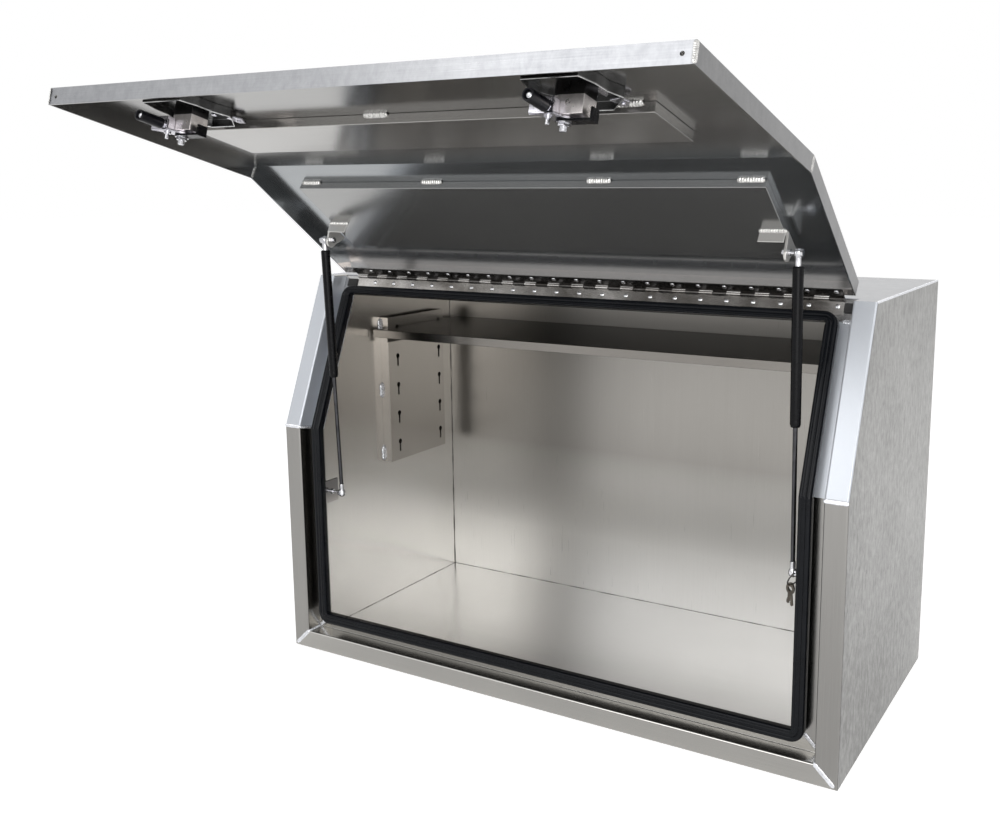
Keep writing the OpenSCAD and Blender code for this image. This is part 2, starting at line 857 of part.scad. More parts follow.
// Door: skin, side returns, bottom return, top flange and riveted lip
module door_skin() {
    drain_x = door_half_w - drain_inset;
    lip_half = door_half_w - sheet_t;
    fold_half = lip_half - corner_gap;
    color(ALUMINIUM) on_door() difference() {
        union() {
            along_x(-door_half_w, door_half_w) {
                lower_band(door_set, skin_inner, door_bottom);
                upper_band(
                    door_set, skin_inner,
                    slope_at(-door_over, door_set), slope_at(-door_over, skin_inner)
                );
            }
            both_sides() along_x(lip_half, door_half_w) {
                lower_band(door_set, return_end, door_bottom);
                upper_band(
                    door_set, return_end,
                    slope_at(-door_over, door_set), slope_at(-door_over, return_end)
                );
            }
            block([-lip_half, door_set, door_bottom], [lip_half, return_end, door_bottom + sheet_t]);
            on_slope() {
                block(
                    [-fold_half, door_set + fold_step, door_over - sheet_t],
                    [fold_half, return_end, door_over + fold_step]
                );
                block(
                    [-fold_half, return_end - sheet_t, -lip_v],
                    [fold_half, return_end, door_over + fold_step]
                );
            }
        }
        both_sides()
            rod_z(
                drain_d / 2, door_bottom - through, door_bottom + sheet_t + through,
                drain_x, (skin_inner + return_end) / 2
            );
        on_slope() rivet_holes(door_rivet_v);
        for (side = [LEFT, RIGHT]) at_lock(side)
            rod_y(spindle_hole_r, door_set - through, skin_inner + through);
    }
}

// A shallow tray with its open side against the skin
module tray(half_x, z0, z1) {
    difference() {
        block([-half_x, skin_inner, z0], [half_x, tray_face, z1]);
        block(
            [-half_x + tray_t, skin_inner - through, z0 + tray_t],
            [half_x - tray_t, tray_face - tray_t, z1 - tray_t]
        );
    }
}

module door_lower_stiffener() {
    color(ALUMINIUM) on_door()
        tray(low_tray_half_w, low_tray_from, low_tray_from + low_tray_h);
}

module door_upper_stiffener() {
    color(ALUMINIUM) on_door() on_slope()
        tray(top_tray_half_w, -top_tray_from - top_tray_h, -top_tray_from);
}

// Weld beads on the door: stitches along the trays, the foot of each strut
// bracket, and the joint across each side return at the fold.
module door_welds() {
    tray_end = top_tray_from + top_tray_h;
    fold_len = norm(knee_at(return_end) - knee_at(door_set));
    color(WELD) on_door() {
        for (part = low_stitch_at)
            translate([part * low_tray_half_w - door_stitch / 2, skin_inner, low_tray_from])
                rotate([0, 90, 0]) corner_bead(door_stitch);
        on_slope() {
            for (part = top_stitch_at)
                translate([part * top_tray_half_w - door_stitch / 2, skin_inner, -tray_end])
                    rotate([0, 90, 0]) corner_bead(door_stitch);
            both_sides()
                translate([top_plate_x - top_foot_w, tray_face, -foot_v - foot_t])
                    rotate([0, 90, 0]) corner_bead(top_foot_w);
        }
        both_sides() translate([door_half_w, knee_at(door_set)[0], knee_at(door_set)[1]])
            rotate([-90 - lean / 2, 0, 0]) flat_bead(fold_len);
    }
}

// Strut brackets. The lower plate is welded to the lip of the jamb; the upper
// one stands on the tray, with a side plate that carries the ball stud.
module strut_lower_brackets() {
    color(ALUMINIUM) placed() both_sides() difference() {
        block(
            [low_plate_x, low_plate_front, low_plate_z],
            [lip_x, low_plate_front + low_plate_w, low_plate_z + low_plate_h]
        );
        rod_x(neck_r, low_plate_x - through, lip_x + through, strut_low_y, strut_low_z);
    }
}

module strut_upper_brackets() {
    stud = [strut_top_d, -strut_top_v];
    color(ALUMINIUM) on_door() on_slope() both_sides() difference() {
        union() {
            along_x(top_plate_x, top_plate_out) {
                polygon([
                    [tray_face, -foot_v - foot_t], [tray_face, -foot_v + top_plate_base],
                    stud + [top_plate_neck_out, top_plate_neck_half],
                    stud + [top_plate_neck_out, -top_plate_neck_half]
                ]);
                translate(stud + [top_plate_eye_out, 0]) circle(top_plate_eye_r);
            }
            block(
                [top_plate_x - top_foot_w, tray_face, -foot_v - foot_t],
                [top_plate_x, tray_face + foot_d, -foot_v]
            );
        }
        rod_x(neck_r, top_plate_x - through, top_plate_out + through, stud[0], stud[1]);
    }
}

// The studs' threaded ends and nuts on the door's brackets
module strut_upper_nuts() {
    color(ZINC) on_door() on_slope() both_sides() {
        rod_x(
            neck_r, top_plate_x - nut_t - stud_past_nut, top_plate_out,
            strut_top_d, -strut_top_v
        );
        difference() {
            rod_x(nut_r, top_plate_x - nut_t, top_plate_x, strut_top_d, -strut_top_v, $fn = 6);
            rod_x(neck_r, top_plate_x - nut_t - 1, top_plate_x + 1, strut_top_d, -strut_top_v);
        }
    }
}

// Ball studs that are fixed in the lower brackets
module strut_lower_ball_studs() {
    color(CHROME) placed() both_sides() translate([0, strut_low_y, strut_low_z]) {
        translate([strut_x, 0, 0]) rotate([0, 90, 0]) sphere(ball_r);
        rod_x(neck_r, strut_x, lip_x + nut_t + stud_past_nut);
        rod_x(collar_r, low_plate_x - collar_t, low_plate_x);
        rod_x(nut_r, lip_x, lip_x + nut_t, $fn = 6);
    }
}

// A strut's own frame: the lower ball's centre at zero and Z up its axis
module on_strut(side) {
    placed() on_side(side) translate([strut_x, strut_low_y, strut_low_z])
        rotate([strut_lean, 0, 0]) children();
}

// A ball socket whose mouth faces along X, towards the stud's neck
module ball_socket(mouth) {
    difference() {
        union() {
            sphere(socket_r);
            rod_z(stub_r, 0, socket_len);
        }
        sphere(ball_r + socket_clear);
        mirror([mouth < 0 ? 1 : 0, 0, 0]) rod_x(socket_mouth_r, 0, socket_r + through);
    }
}

module strut_lower_socket(side) {
    color(CHROME) on_strut(side) difference() {
        ball_socket(1);
        rod_z(rod_r - 1, socket_len - 8, socket_len + through);
    }
}

module strut_rod(side) {
    color(CHROME) on_strut(side) {
        rod_z(rod_r - 1, socket_len - 8, socket_len);
        rod_z(rod_r, socket_len, piston_from);
        rod_z(tube_r - tube_wall - 0.1, piston_from, piston_from + piston_len);
    }
}

module strut_tube(side) {
    color(BLACK_PAINT) on_strut(side) difference() {
        rod_z(tube_r, tube_bottom, tube_top);
        rod_z(tube_r - tube_wall, tube_bottom + gland_len, tube_top - tube_cap_t);
        rod_z(rod_r + rod_clear, tube_bottom - through, tube_bottom + gland_len + through);
    }
}

module strut_upper_socket(side) {
    color(CHROME) on_strut(side) {
        translate([0, 0, strut_len]) mirror([0, 0, 1]) ball_socket(-1);
        rod_z(stub_r, tube_top, strut_len - socket_len);
    }
}

// The upper ball stud stays with its strut; its collar stops just off the bracket.
module strut_ball_stud(side) {
    seat = top_plate_out + stud_gap - strut_x;
    color(CHROME) on_strut(side) translate([0, 0, strut_len]) {
        sphere(ball_r);
        rod_x(neck_r, seat, 0);
        rod_x(collar_r, seat, seat + collar_t);
    }
}

// Locks: drawn about the spindle's axis for the shut door, X across, Y the
// depth behind the front and Z up.
module at_lock(side) {
    translate([side * lock_x, 0, lock_z]) children();
}

module on_lock(side) {
    on_door() at_lock(side) children();
}

function inset(p, w) = p * (1 - w / norm(p));
half_dish = [[41, -50], [50, -20], [52, 9], [62, 34], [57, 43], [26, 79]];
dish_outline = concat(
    half_dish,
    [for (i = [len(half_dish) - 1 : -1 : 0]) [-half_dish[i][0], half_dish[i][1]]]
);

module dish_slab(d0, d1, grow) {
    translate([0, d1, 0]) rotate([90, 0, 0]) linear_extrude(d1 - d0)
        polygon([for (p = dish_outline) inset(p, -grow)]);
}

module lock_dish(side) {
    floor_d = skin_inner + dish_wall;
    color(ZINC) on_lock(side) difference() {
        dish_slab(skin_inner, skin_inner + dish_d, 0);
        dish_slab(floor_d, skin_inner + dish_d + through, -dish_wall);
        rod_y(spindle_hole_r, skin_inner - through, floor_d + through);
    }
}

module lock_dishes() {
    lock_dish(LEFT);
    lock_dish(RIGHT);
}

module lock_housing(side) {
    from = skin_inner + dish_wall;
    color(ZINC) on_lock(side) difference() {
        union() {
            rod_y(housing_r, from, housing_end);
            block([0, from, -housing_r], [housing_len, housing_end, housing_r]);
        }
        rod_y(spindle_r + lock_clear, from - through, housing_end + through);
    }
}

module lock_housings() {
    lock_housing(LEFT);
    lock_housing(RIGHT);
}

module lock_face_plate(side) {
    color(CHROME) on_lock(side) difference() {
        dish_slab(door_set - plate_out, door_set, 3);
        rod_y(spindle_hole_r, door_set - plate_out - through, door_set + through);
    }
}

module lock_face_plates() {
    lock_face_plate(LEFT);
    lock_face_plate(RIGHT);
}

module lock_handle(side) {
    back = handle_face;
    front = back - handle_t - hub_step;
    bar_half = handle_len / 2 - handle_w / 2;
    color(CHROME) on_lock(side) difference() {
        union() {
            rod_y(hub_r, front, back);
            block([-bar_half, back - handle_t, -handle_w / 2], [bar_half, back, handle_w / 2]);
            rod_y(handle_w / 2, back - handle_t, back, bar_half);
            rod_y(handle_w / 2, back - handle_t, back, -bar_half);
        }
        rod_y(barrel_r + lock_clear, front - through, front + barrel_depth);
    }
}

module lock_spindle(side) {
    color(STEEL) on_lock(side) {
        rod_y(spindle_r, handle_face, housing_end + spindle_seat_gap);
        rod_y(spindle_end_r, housing_end, spindle_tip);
        difference() {
            rod_y(spindle_end_r + spindle_nut_wall, nut_from, nut_from + nut_t, $fn = 6);
            rod_y(spindle_end_r, nut_from - through, nut_from + nut_t + through);
        }
    }
}

// The cam: a plate under the housing, a tab that turns up to hold the roller's
// bolt, and a slotted tongue beside it.
module lock_cam(side) {
    slot_x = -roller_offset - tab_half_w / 2;
    color(ZINC) on_lock(side) difference() {
        union() {
            rod_y(cam_disc_r, cam_from, cam_from + cam_t);
            translate([0, cam_from + cam_t, 0]) rotate([90, 0, 0]) linear_extrude(cam_t)
                polygon(concat(
                    [
                        [-roller_offset - tab_half_w, -tab_z - cam_t],
                        [-roller_offset + tab_half_w, -tab_z - cam_t]
                    ],
                    cam_wing
                ));
            block(
                [-roller_offset - tab_half_w, roller_depth, -tab_z - cam_t],
                [-roller_offset + tab_half_w, cam_from + cam_t, -tab_z]
            );
            rod_z(tab_half_w, -tab_z - cam_t, -tab_z, -roller_offset, roller_depth);
            block(
                [-roller_offset - tab_half_w, cam_from, -tab_z - cam_t],
                [-roller_offset, cam_from + tongue_len, -tab_z]
            );
        }
        rod_y(spindle_end_r, cam_from - through, cam_from + cam_t + through);
        rod_z(roller_bolt_r, -tab_z - cam_t - through, -tab_z + through, -roller_offset, roller_depth);
        block(
            [slot_x - tongue_slot_w / 2, cam_from + tongue_slot_from, -tab_z - cam_t - through],
            [slot_x + tongue_slot_w / 2, cam_from + tongue_slot_to, -tab_z + through]
        );
    }
}

// The black lever that turns with the spindle and hooks up at its end
module lock_lever(side) {
    reach = housing_len + lever_past;
    end = lever_from + cam_t;
    color(BLACK_PAINT) on_lock(side) difference() {
        union() {
            rod_y(lever_r, lever_from, end);
            block([0, lever_from, -lever_half_w], [reach, end, lever_half_w]);
            block([reach - cam_t, lever_from - lever_hook, -lever_half_w], [reach, end, lever_half_w]);
        }
        rod_y(spindle_end_r, lever_from - through, end + through);
    }
}

module lock_roller(side) {
    end = -roller_from - roller_len;
    color(BLACK_RUBBER) on_lock(side) difference() {
        rod_z(roller_r, end, -roller_from, -roller_offset, roller_depth);
        rod_z(
            roller_bolt_r + lock_clear, end - through, -roller_from + through,
            -roller_offset, roller_depth
        );
        rod_z(roller_recess_r, end - through, end + roller_recess, -roller_offset, roller_depth);
    }
}

// The bolt that the roller turns on, with its nuts on both sides of the tab
module lock_roller_bolt(side) {
    end = -roller_from - roller_len + roller_recess - bolt_gap;
    color(CHROME) on_lock(side) {
        rod_z(roller_bolt_r, end, -tab_z + nut_t + bolt_past_nut, -roller_offset, roller_depth);
        rod_z(bolt_head_r, end - bolt_head_t, end, -roller_offset, roller_depth);
        rod_z(nut_r, -tab_z, -tab_z + nut_t, -roller_offset, roller_depth, $fn = 6);
        rod_z(nut_r, -roller_from + bolt_gap, -tab_z - cam_t, -roller_offset, roller_depth, $fn = 6);
    }
}

module lock_key_barrel(side) {
    face = handle_face - handle_t - hub_step;
    color(STEEL) on_lock(side) difference() {
        rod_y(barrel_r, face - barrel_proud, face + barrel_depth);
        block(
            [-key_slot_w / 2, face - barrel_proud - through, -key_slot_len / 2],
            [key_slot_w / 2, face + barrel_depth - key_slot_floor, key_slot_len / 2]
        );
    }
}

// Shelf brackets: channels that stand off the side panels, open to the sides,
// with two columns of keyholes in their webs.
module keyhole(y, z) {
    rod_x(keyhole_d / 2, web_inner - through, web_outer + through, y, z);
    rod_x(keyhole_slot / 2, web_inner - through, web_outer + through, y, z - keyhole_drop);
    block(
        [web_inner - through, y - keyhole_slot / 2, z - keyhole_drop],
        [web_outer + through, y + keyhole_slot / 2, z]
    );
}

module shelf_bracket(side) {
    color(ALUMINIUM) placed() on_side(side) difference() {
        block(
            [web_inner, bracket_front, bracket_z],
            [side_inner, bracket_back, bracket_z + bracket_h]
        );
        block(
            [web_outer, bracket_front + sheet_t, bracket_z - through],
            [side_inner + through, bracket_back - sheet_t, bracket_z + bracket_h + through]
        );
        for (y = keyhole_columns)
            for (row = [0 : keyhole_rows - 1])
                keyhole(y, keyhole_top_z - row * keyhole_pitch);
    }
}

// Shelf: a plate with a folded front lip, wings in front of the brackets and
// end flanges that hold its headed lugs.
module shelf() {
    wing_end = side_inner - wing_gap;
    flange_front = shelf_front + wing_d + shelf_flange_gap;
    color(ALUMINIUM) placed() {
        block([-shelf_end, shelf_front, shelf_z - sheet_t], [shelf_end, shelf_back, shelf_z]);
        block([-wing_end, shelf_front, shelf_z - sheet_t], [wing_end, shelf_front + wing_d, shelf_z]);
        block([-wing_end, shelf_front, shelf_z - shelf_lip], [wing_end, shelf_front + sheet_t, shelf_z]);
        both_sides()
            block(
                [shelf_end - sheet_t, flange_front, shelf_z - shelf_flange],
                [shelf_end, shelf_back, shelf_z]
            );
    }
}

module shelf_lugs() {
    color(CHROME) placed() both_sides() for (y = keyhole_columns) {
        rod_x(lug_r, shelf_end, web_outer + lug_head_gap, y, lug_z);
        rod_x(
            lug_head_d / 2, web_outer + lug_head_gap, web_outer + lug_head_gap + lug_head_t,
            y, lug_z
        );
    }
}

// Keys on a split ring that hangs from the right strut's lower ball stud
module on_ring() {
    placed() translate([ring_x, strut_low_y, ring_z]) rotate([0, 0, ring_turn]) children();
}

module key_ring() {
    color(CHROME) on_ring() rotate([90, 0, 0])
        rotate_extrude($fn = 64) translate([ring_r, 0]) circle(ring_wire_r, $fn = 16);
}

// A key across the ring's wire, whose eye hangs on the ring's lowest point
module key_shape(x, turn) {
    eye_r = ring_wire_r + key_eye_slack;
    eye_z = key_bow_d / 2 - eye_r - key_eye_wall;
    slack = eye_r - ring_wire_r - key_gap;
    translate([x, 0, -ring_r]) rotate([turn, 0, 0]) translate([0, 0, -eye_z - slack])
        difference() {
            union() {
                rod_x(key_bow_d / 2, -key_t / 2, key_t / 2);
                block(
                    [-key_t / 2, -key_blade_w / 2, key_bow_d / 2 - key_len],
                    [key_t / 2, key_blade_w / 2, 0]
                );
            }
            rod_x(eye_r, -key_t, key_t, 0, eye_z);
        }
}

module keys() {
    color(KEY_BRASS) on_ring() {
        key_shape(-key_t, key_turns[0]);
        key_shape(key_t, key_turns[1]);
    }
}

floor_panel();
back_panel();
top_panel();
side_panel(LEFT);  // left_side_panel
side_panel(RIGHT);  // right_side_panel
sill_rail();
header_rail();
lower_jamb(LEFT);  // left_lower_jamb
lower_jamb(RIGHT);  // right_lower_jamb
upper_jamb(LEFT);  // left_upper_jamb
upper_jamb(RIGHT);  // right_upper_jamb
body_welds();
door_seal();
hinge_end_plugs();
hinge_body_leaf();
hinge_pin();
hinge_body_rivets();
shelf_bracket(LEFT);  // left_shelf_bracket
shelf_bracket(RIGHT);  // right_shelf_bracket
strut_lower_brackets();
strut_lower_ball_studs();
shelf();
shelf_lugs();
door_skin();
door_lower_stiffener();
door_upper_stiffener();
door_welds();
hinge_door_leaf();
hinge_door_rivets();
strut_upper_brackets();
strut_upper_nuts();
lock_dishes();
lock_housings();
lock_face_plates();
strut_rod(LEFT);  // left_strut_rod
strut_lower_socket(LEFT);  // left_strut_lower_socket
strut_tube(LEFT);  // left_strut_tube
strut_upper_socket(LEFT);  // left_strut_upper_socket
strut_ball_stud(LEFT);  // left_strut_ball_stud
strut_rod(RIGHT);  // right_strut_rod
strut_lower_socket(RIGHT);  // right_strut_lower_socket
strut_tube(RIGHT);  // right_strut_tube
strut_upper_socket(RIGHT);  // right_strut_upper_socket
strut_ball_stud(RIGHT);  // right_strut_ball_stud
lock_handle(LEFT);  // left_lock_handle
lock_spindle(LEFT);  // left_lock_spindle
lock_cam(LEFT);  // left_lock_cam
lock_lever(LEFT);  // left_lock_lever
lock_roller(LEFT);  // left_lock_roller
lock_roller_bolt(LEFT);  // left_lock_roller_bolt
lock_key_barrel(LEFT);  // left_lock_key_barrel
lock_handle(RIGHT);  // right_lock_handle
lock_spindle(RIGHT);  // right_lock_spindle
lock_cam(RIGHT);  // right_lock_cam
lock_lever(RIGHT);  // right_lock_lever
lock_roller(RIGHT);  // right_lock_roller
lock_roller_bolt(RIGHT);  // right_lock_roller_bolt
lock_key_barrel(RIGHT);  // right_lock_key_barrel
key_ring();
keys();
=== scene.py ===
"""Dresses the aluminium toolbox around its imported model.

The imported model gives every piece's place. This script gives each sheet, weld,
seal, strut, lock and hinge piece its finish, and replaces the pieces whose real
form is softer or finer than their solid. Sizes are millimetres in the model's own
frame, and become metres where a mesh is made.
"""

import logging
import math
from dataclasses import dataclass
from enum import Enum
from typing import Callable, Sequence

import bmesh
import bpy
import numpy as np
from mathutils import Matrix, Vector


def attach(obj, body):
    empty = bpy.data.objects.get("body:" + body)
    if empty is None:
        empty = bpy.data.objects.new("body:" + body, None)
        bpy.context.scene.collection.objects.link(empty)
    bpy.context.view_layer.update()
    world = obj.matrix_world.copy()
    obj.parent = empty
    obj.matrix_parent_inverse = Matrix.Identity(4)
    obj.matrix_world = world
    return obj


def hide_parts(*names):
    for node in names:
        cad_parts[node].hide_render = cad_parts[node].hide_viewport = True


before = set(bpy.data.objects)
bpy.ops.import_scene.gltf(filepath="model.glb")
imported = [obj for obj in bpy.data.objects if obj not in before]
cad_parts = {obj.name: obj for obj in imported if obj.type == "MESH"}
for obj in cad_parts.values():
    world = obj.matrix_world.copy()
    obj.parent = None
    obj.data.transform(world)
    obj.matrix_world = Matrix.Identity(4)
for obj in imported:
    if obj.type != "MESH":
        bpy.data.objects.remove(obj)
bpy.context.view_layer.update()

MM = 0.001
LOG = logging.getLogger("toolbox")
Colour = tuple[float, float, float]
Place = tuple[float, float, float]
X, Y, Z = range(3)

# Rolling marks in a metre, square to them and along them
COARSE_MARKS = (520.0, 5.0)
FINE_MARKS = (1900.0, 14.0)
CLOUD_SCALE = 2.4
MOTTLE_STRETCH = (1.0, 1.0, 0.5)

# The middle part of a noise, which is spread over the whole range
NOISE_CORE = (0.3, 0.7)
MOTTLE_CORE = (0.34, 0.66)
WEAR_CORE = (0.35, 0.65)

# How an edge is rounded, in millimetres and degrees
JOINED_WITHIN = 0.002
FLAT_WITHIN = 0.6
HARD_EDGE = 32.0
EDGE_FACES = 3

NUT_POINTS = 36
INTO_LOCK = (0.0, -0.2588, -0.9659)


class Side(Enum):
    """The two sides of the toolbox, seen from the front."""

    LEFT = -1
    RIGHT = 1

    @property
    def word(self) -> str:
        """The side's name as the nodes have it."""
        return self.name.lower()


class Grain(Enum):
    """The way in which a sheet's rolling marks run, as the axis that they follow."""

    ACROSS = (1.0, 0.0, 0.0)
    UPRIGHT = (0.0, 0.0, 1.0)

    def scale(self, across: float, along: float) -> Place:
        """The scale of a noise that is drawn out along the marks.

        Args:
            across: Marks per metre, square to them.
            along: Changes per metre, along them.

        Returns:
            The scale on X, Y and Z.
        """
        return tuple(along if part else across for part in self.value)


class Graph:
    """The node tree of one material, with a short call for each kind of node."""

    def __init__(self, name: str) -> None:
        """Makes the material with an empty tree and its output."""
        self.material = bpy.data.materials.new(name)
        self.material.use_nodes = True
        self.tree = self.material.node_tree
        self.tree.nodes.clear()
        self.output = self.tree.nodes.new("ShaderNodeOutputMaterial")
        coordinates = self.tree.nodes.new("ShaderNodeTexCoord")
        self.place, self.facing = coordinates.outputs["Object"], coordinates.outputs["Normal"]

    def node(self, kind: str, **inputs: object) -> bpy.types.Node:
        """Adds a node and sets or links its inputs, whose names have _ for a space."""
        made = self.tree.nodes.new(kind)
        for name, value in inputs.items():
            self.feed(made.inputs[name.replace("_", " ")], value)
        return made

    def feed(self, socket: bpy.types.NodeSocket, value: object) -> None:
        """Links a socket to another node's output, or sets its value."""
        if isinstance(value, bpy.types.NodeSocket):
            self.tree.links.new(value, socket)
        elif isinstance(value, tuple) and len(value) == 3 and socket.type == "RGBA":
            socket.default_value = (*value, 1.0)
        else:
            socket.default_value = value

    def stretched(self, scale: Place) -> bpy.types.NodeSocket:
        """The object's own coordinates, scaled along each axis."""
        return self.node("ShaderNodeMapping", Vector=self.place, Scale=scale).outputs[0]

    def noise(
        self, vector: bpy.types.NodeSocket, scale: float, detail: float = 2.0,
        roughness: float = 0.5, distortion: float = 0.0,
    ) -> bpy.types.NodeSocket:
        """A noise from 0 to 1."""
        made = self.node(
            "ShaderNodeTexNoise", Vector=vector, Scale=scale, Detail=detail,
            Roughness=roughness, Distortion=distortion,
        )
        return made.outputs["Fac"]

    def spread(
        self, value: bpy.types.NodeSocket, low: float, high: float,
        to_low: float = 0.0, to_high: float = 1.0,
    ) -> bpy.types.NodeSocket:
        """Carries the range low..high of a value to another range, held at its ends."""
        made = self.node(
            "ShaderNodeMapRange", Value=value, From_Min=low, From_Max=high,
            To_Min=to_low, To_Max=to_high,
        )
        return made.outputs[0]

    def maths(self, kind: str, first: object, second: object) -> bpy.types.NodeSocket:
        """One sum on two values."""
        made = self.tree.nodes.new("ShaderNodeMath")
        made.operation = kind
        self.feed(made.inputs[0], first)
        self.feed(made.inputs[1], second)
        return made.outputs[0]

    def weighed_sum(
        self, first: object, first_share: float, second: object, second_share: float,
    ) -> bpy.types.NodeSocket:
        """Two values, each times its share, added up."""
        shares = (first, first_share), (second, second_share)
        return self.maths("ADD", *(self.maths("MULTIPLY", *pair) for pair in shares))

    def vector_maths(
        self, kind: str, first: object, second: object, output: str = "Vector",
    ) -> bpy.types.NodeSocket:
        """One sum on two vectors."""
        made = self.tree.nodes.new("ShaderNodeVectorMath")
        made.operation = kind
        self.feed(made.inputs[0], first)
        self.feed(made.inputs[1], second)
        return made.outputs[output]

    def blend(self, share: object, first: object, second: object) -> bpy.types.NodeSocket:
        """A colour between two colours."""
        made = self.tree.nodes.new("ShaderNodeMix")
        made.data_type = "RGBA"
        self.feed(made.inputs["Factor"], share)
        self.feed(made.inputs[6], first)
        self.feed(made.inputs[7], second)
        return made.outputs[2]

    def bump(
        self, height: bpy.types.NodeSocket, strength: float, depth_mm: float,
    ) -> bpy.types.NodeSocket:
        """A normal that is tilted by a height between 0 and 1."""
        made = self.node(
            "ShaderNodeBump", Height=height, Strength=strength, Distance=depth_mm * MM
        )
        return made.outputs[0]

    def principled(self, **inputs: object) -> bpy.types.NodeSocket:
        """A principled shader with these inputs."""
        return self.node("ShaderNodeBsdfPrincipled", **inputs).outputs[0]

    def end(self, shader: bpy.types.NodeSocket) -> bpy.types.Material:
        """Ends the tree in a shader."""
        self.tree.links.new(shader, self.output.inputs["Surface"])
        return self.material


@dataclass(frozen=True)
class Fade:
    """A band of painted light or shade on a finish, by the distance along one direction in metres.

    The tone is multiplied by the gain between full and fall, by 1 outside start and end,
    and by what lies between on the slopes.
    """

    direction: Place
    start: float
    full: float
    gain: Colour
    fall: float = 50.0
    end: float = 51.0
    beside: "Fade | None" = None

    def tinted(self, graph: "Graph", colour: bpy.types.NodeSocket) -> bpy.types.NodeSocket:
        """The colour with the part's gain, and with that of the part beside it."""
        along = graph.vector_maths("DOT_PRODUCT", graph.place, self.direction, output="Value")
        rise = graph.spread(along, self.start, self.full)
        drop = graph.spread(along, self.fall, self.end, 1.0, 0.0)
        share = graph.maths("MINIMUM", rise, drop)
        tinted = graph.vector_maths("MULTIPLY", colour, graph.blend(share, (1.0, 1.0, 1.0), self.gain))
        return self.beside.tinted(graph, tinted) if self.beside else tinted


@dataclass(frozen=True)
class Sheet:
    """Bare rolled aluminium: fine marks along the grain, broad clouds, optional mottling.

    The colour lies between light and dark by a mean of clouds, marks and mottling, and
    the roughness and the bump follow the marks. The edge is how much it reflects where
    it is seen almost along its face, as a share of what bare metal does. An optional
    fade multiplies the colour by a band of painted light or shade.
    """

    name: str
    light: Colour
    dark: Colour
    grain: Grain = Grain.UPRIGHT
    roughness: tuple[float, float] = (0.16, 0.22)
    marks: float = 0.25
    clouds: float = 0.4
    mottling: float = 0.0
    mottle_scale: float = 60.0
    bump_mm: float = 0.0012
    metallic: float = 1.0
    edge: float = 1.0
    fade: Fade | None = None

    def shader(self, graph: Graph) -> bpy.types.NodeSocket:
        """Adds the sheet's nodes to a tree."""
        coarse = graph.noise(graph.stretched(self.grain.scale(*COARSE_MARKS)), 1.0)
        fine = graph.noise(graph.stretched(self.grain.scale(*FINE_MARKS)), 1.0)
        cloud = graph.noise(graph.place, CLOUD_SCALE, roughness=0.55)
        marks = graph.weighed_sum(coarse, 0.5, fine, 0.5)
        tone = graph.weighed_sum(
            graph.spread(cloud, *NOISE_CORE), self.clouds,
            graph.spread(marks, *NOISE_CORE), self.marks,
        )
        if self.mottling:
            drawn_out = graph.stretched(MOTTLE_STRETCH)
            patches = graph.noise(drawn_out, self.mottle_scale, 6.0, 0.75, 0.3)
            tone = graph.weighed_sum(tone, 1.0, graph.spread(patches, *MOTTLE_CORE), self.mottling)
        colour = graph.blend(tone, self.light, self.dark)
        return graph.principled(
            Base_Color=self.fade.tinted(graph, colour) if self.fade else colour,
            Metallic=self.metallic,
            Specular_Tint=(self.edge, self.edge, self.edge),
            Roughness=graph.spread(marks, *NOISE_CORE, *self.roughness),
            Normal=graph.bump(marks, 0.3, self.bump_mm),
        )

    def material(self) -> bpy.types.Material:
        """Makes the material."""
        graph = Graph(self.name)
        return graph.end(self.shader(graph))


@dataclass(frozen=True)
class TwoFaced:
    """A panel whose face inside the box has another finish than its face outside.

    A face looks outward where its normal points away from a place inside the box.
    """

    name: str
    inside: Sheet
    outside: Sheet
    centre: Place = (0.0, -0.1, 0.45)

    def material(self) -> bpy.types.Material:
        """Makes the material."""
        graph = Graph(self.name)
        reach = graph.vector_maths("SUBTRACT", graph.place, self.centre)
        outward = graph.vector_maths("DOT_PRODUCT", graph.facing, reach, output="Value")
        share = graph.maths("GREATER_THAN", outward, 0.0)
        mix = graph.tree.nodes.new("ShaderNodeMixShader")
        graph.feed(mix.inputs[0], share)
        graph.feed(mix.inputs[1], self.inside.shader(graph))
        graph.feed(mix.inputs[2], self.outside.shader(graph))
        return graph.end(mix.outputs[0])


@dataclass(frozen=True)
class Plain:
    """A plain finish with a little wear: painted, plated, cast or moulded. An optional fade paints light
    or shade on it.
    """

    name: str
    light: Colour
    dark: Colour
    metallic: float = 1.0
    roughness: tuple[float, float] = (0.2, 0.35)
    patch_scale: float = 60.0
    speckle_scale: float = 900.0
    bump_mm: float = 0.03
    bump: float = 0.3
    gloss: float = 0.5
    fade: Fade | None = None

    def material(self) -> bpy.types.Material:
        """Makes the material."""
        graph = Graph(self.name)
        patches = graph.noise(graph.place, self.patch_scale, 4.0, 0.55, 0.3)
        speckle = graph.noise(graph.place, self.speckle_scale)
        wear = graph.weighed_sum(patches, 0.7, speckle, 0.3)
        colour = graph.blend(graph.spread(wear, *WEAR_CORE), self.light, self.dark)
        return graph.end(graph.principled(
            Base_Color=self.fade.tinted(graph, colour) if self.fade else colour,
            Metallic=self.metallic,
            Specular_IOR_Level=self.gloss,
            Roughness=graph.spread(patches, *NOISE_CORE, *self.roughness),
            Normal=graph.bump(speckle, self.bump, self.bump_mm),
        ))


OUTSIDE = Sheet(
    "outside sheet", (0.46, 0.455, 0.445), (0.16, 0.158, 0.152), roughness=(0.34, 0.46),
    marks=0.25, clouds=0.4, mottling=0.6, mottle_scale=90.0,
)
# Painted shade: the inside sheet darkens above 0.28 m high, to about 0.72 of its colour above 0.5 m,
# towards the top of the box.
INSIDE = Sheet(
    "inside sheet", (0.57, 0.56, 0.54), (0.46, 0.45, 0.43), roughness=(0.2, 0.26), marks=0.2,
    fade=Fade((0.0, 0.0, 1.0), 0.28, 0.5, (0.74, 0.72, 0.70)),
)


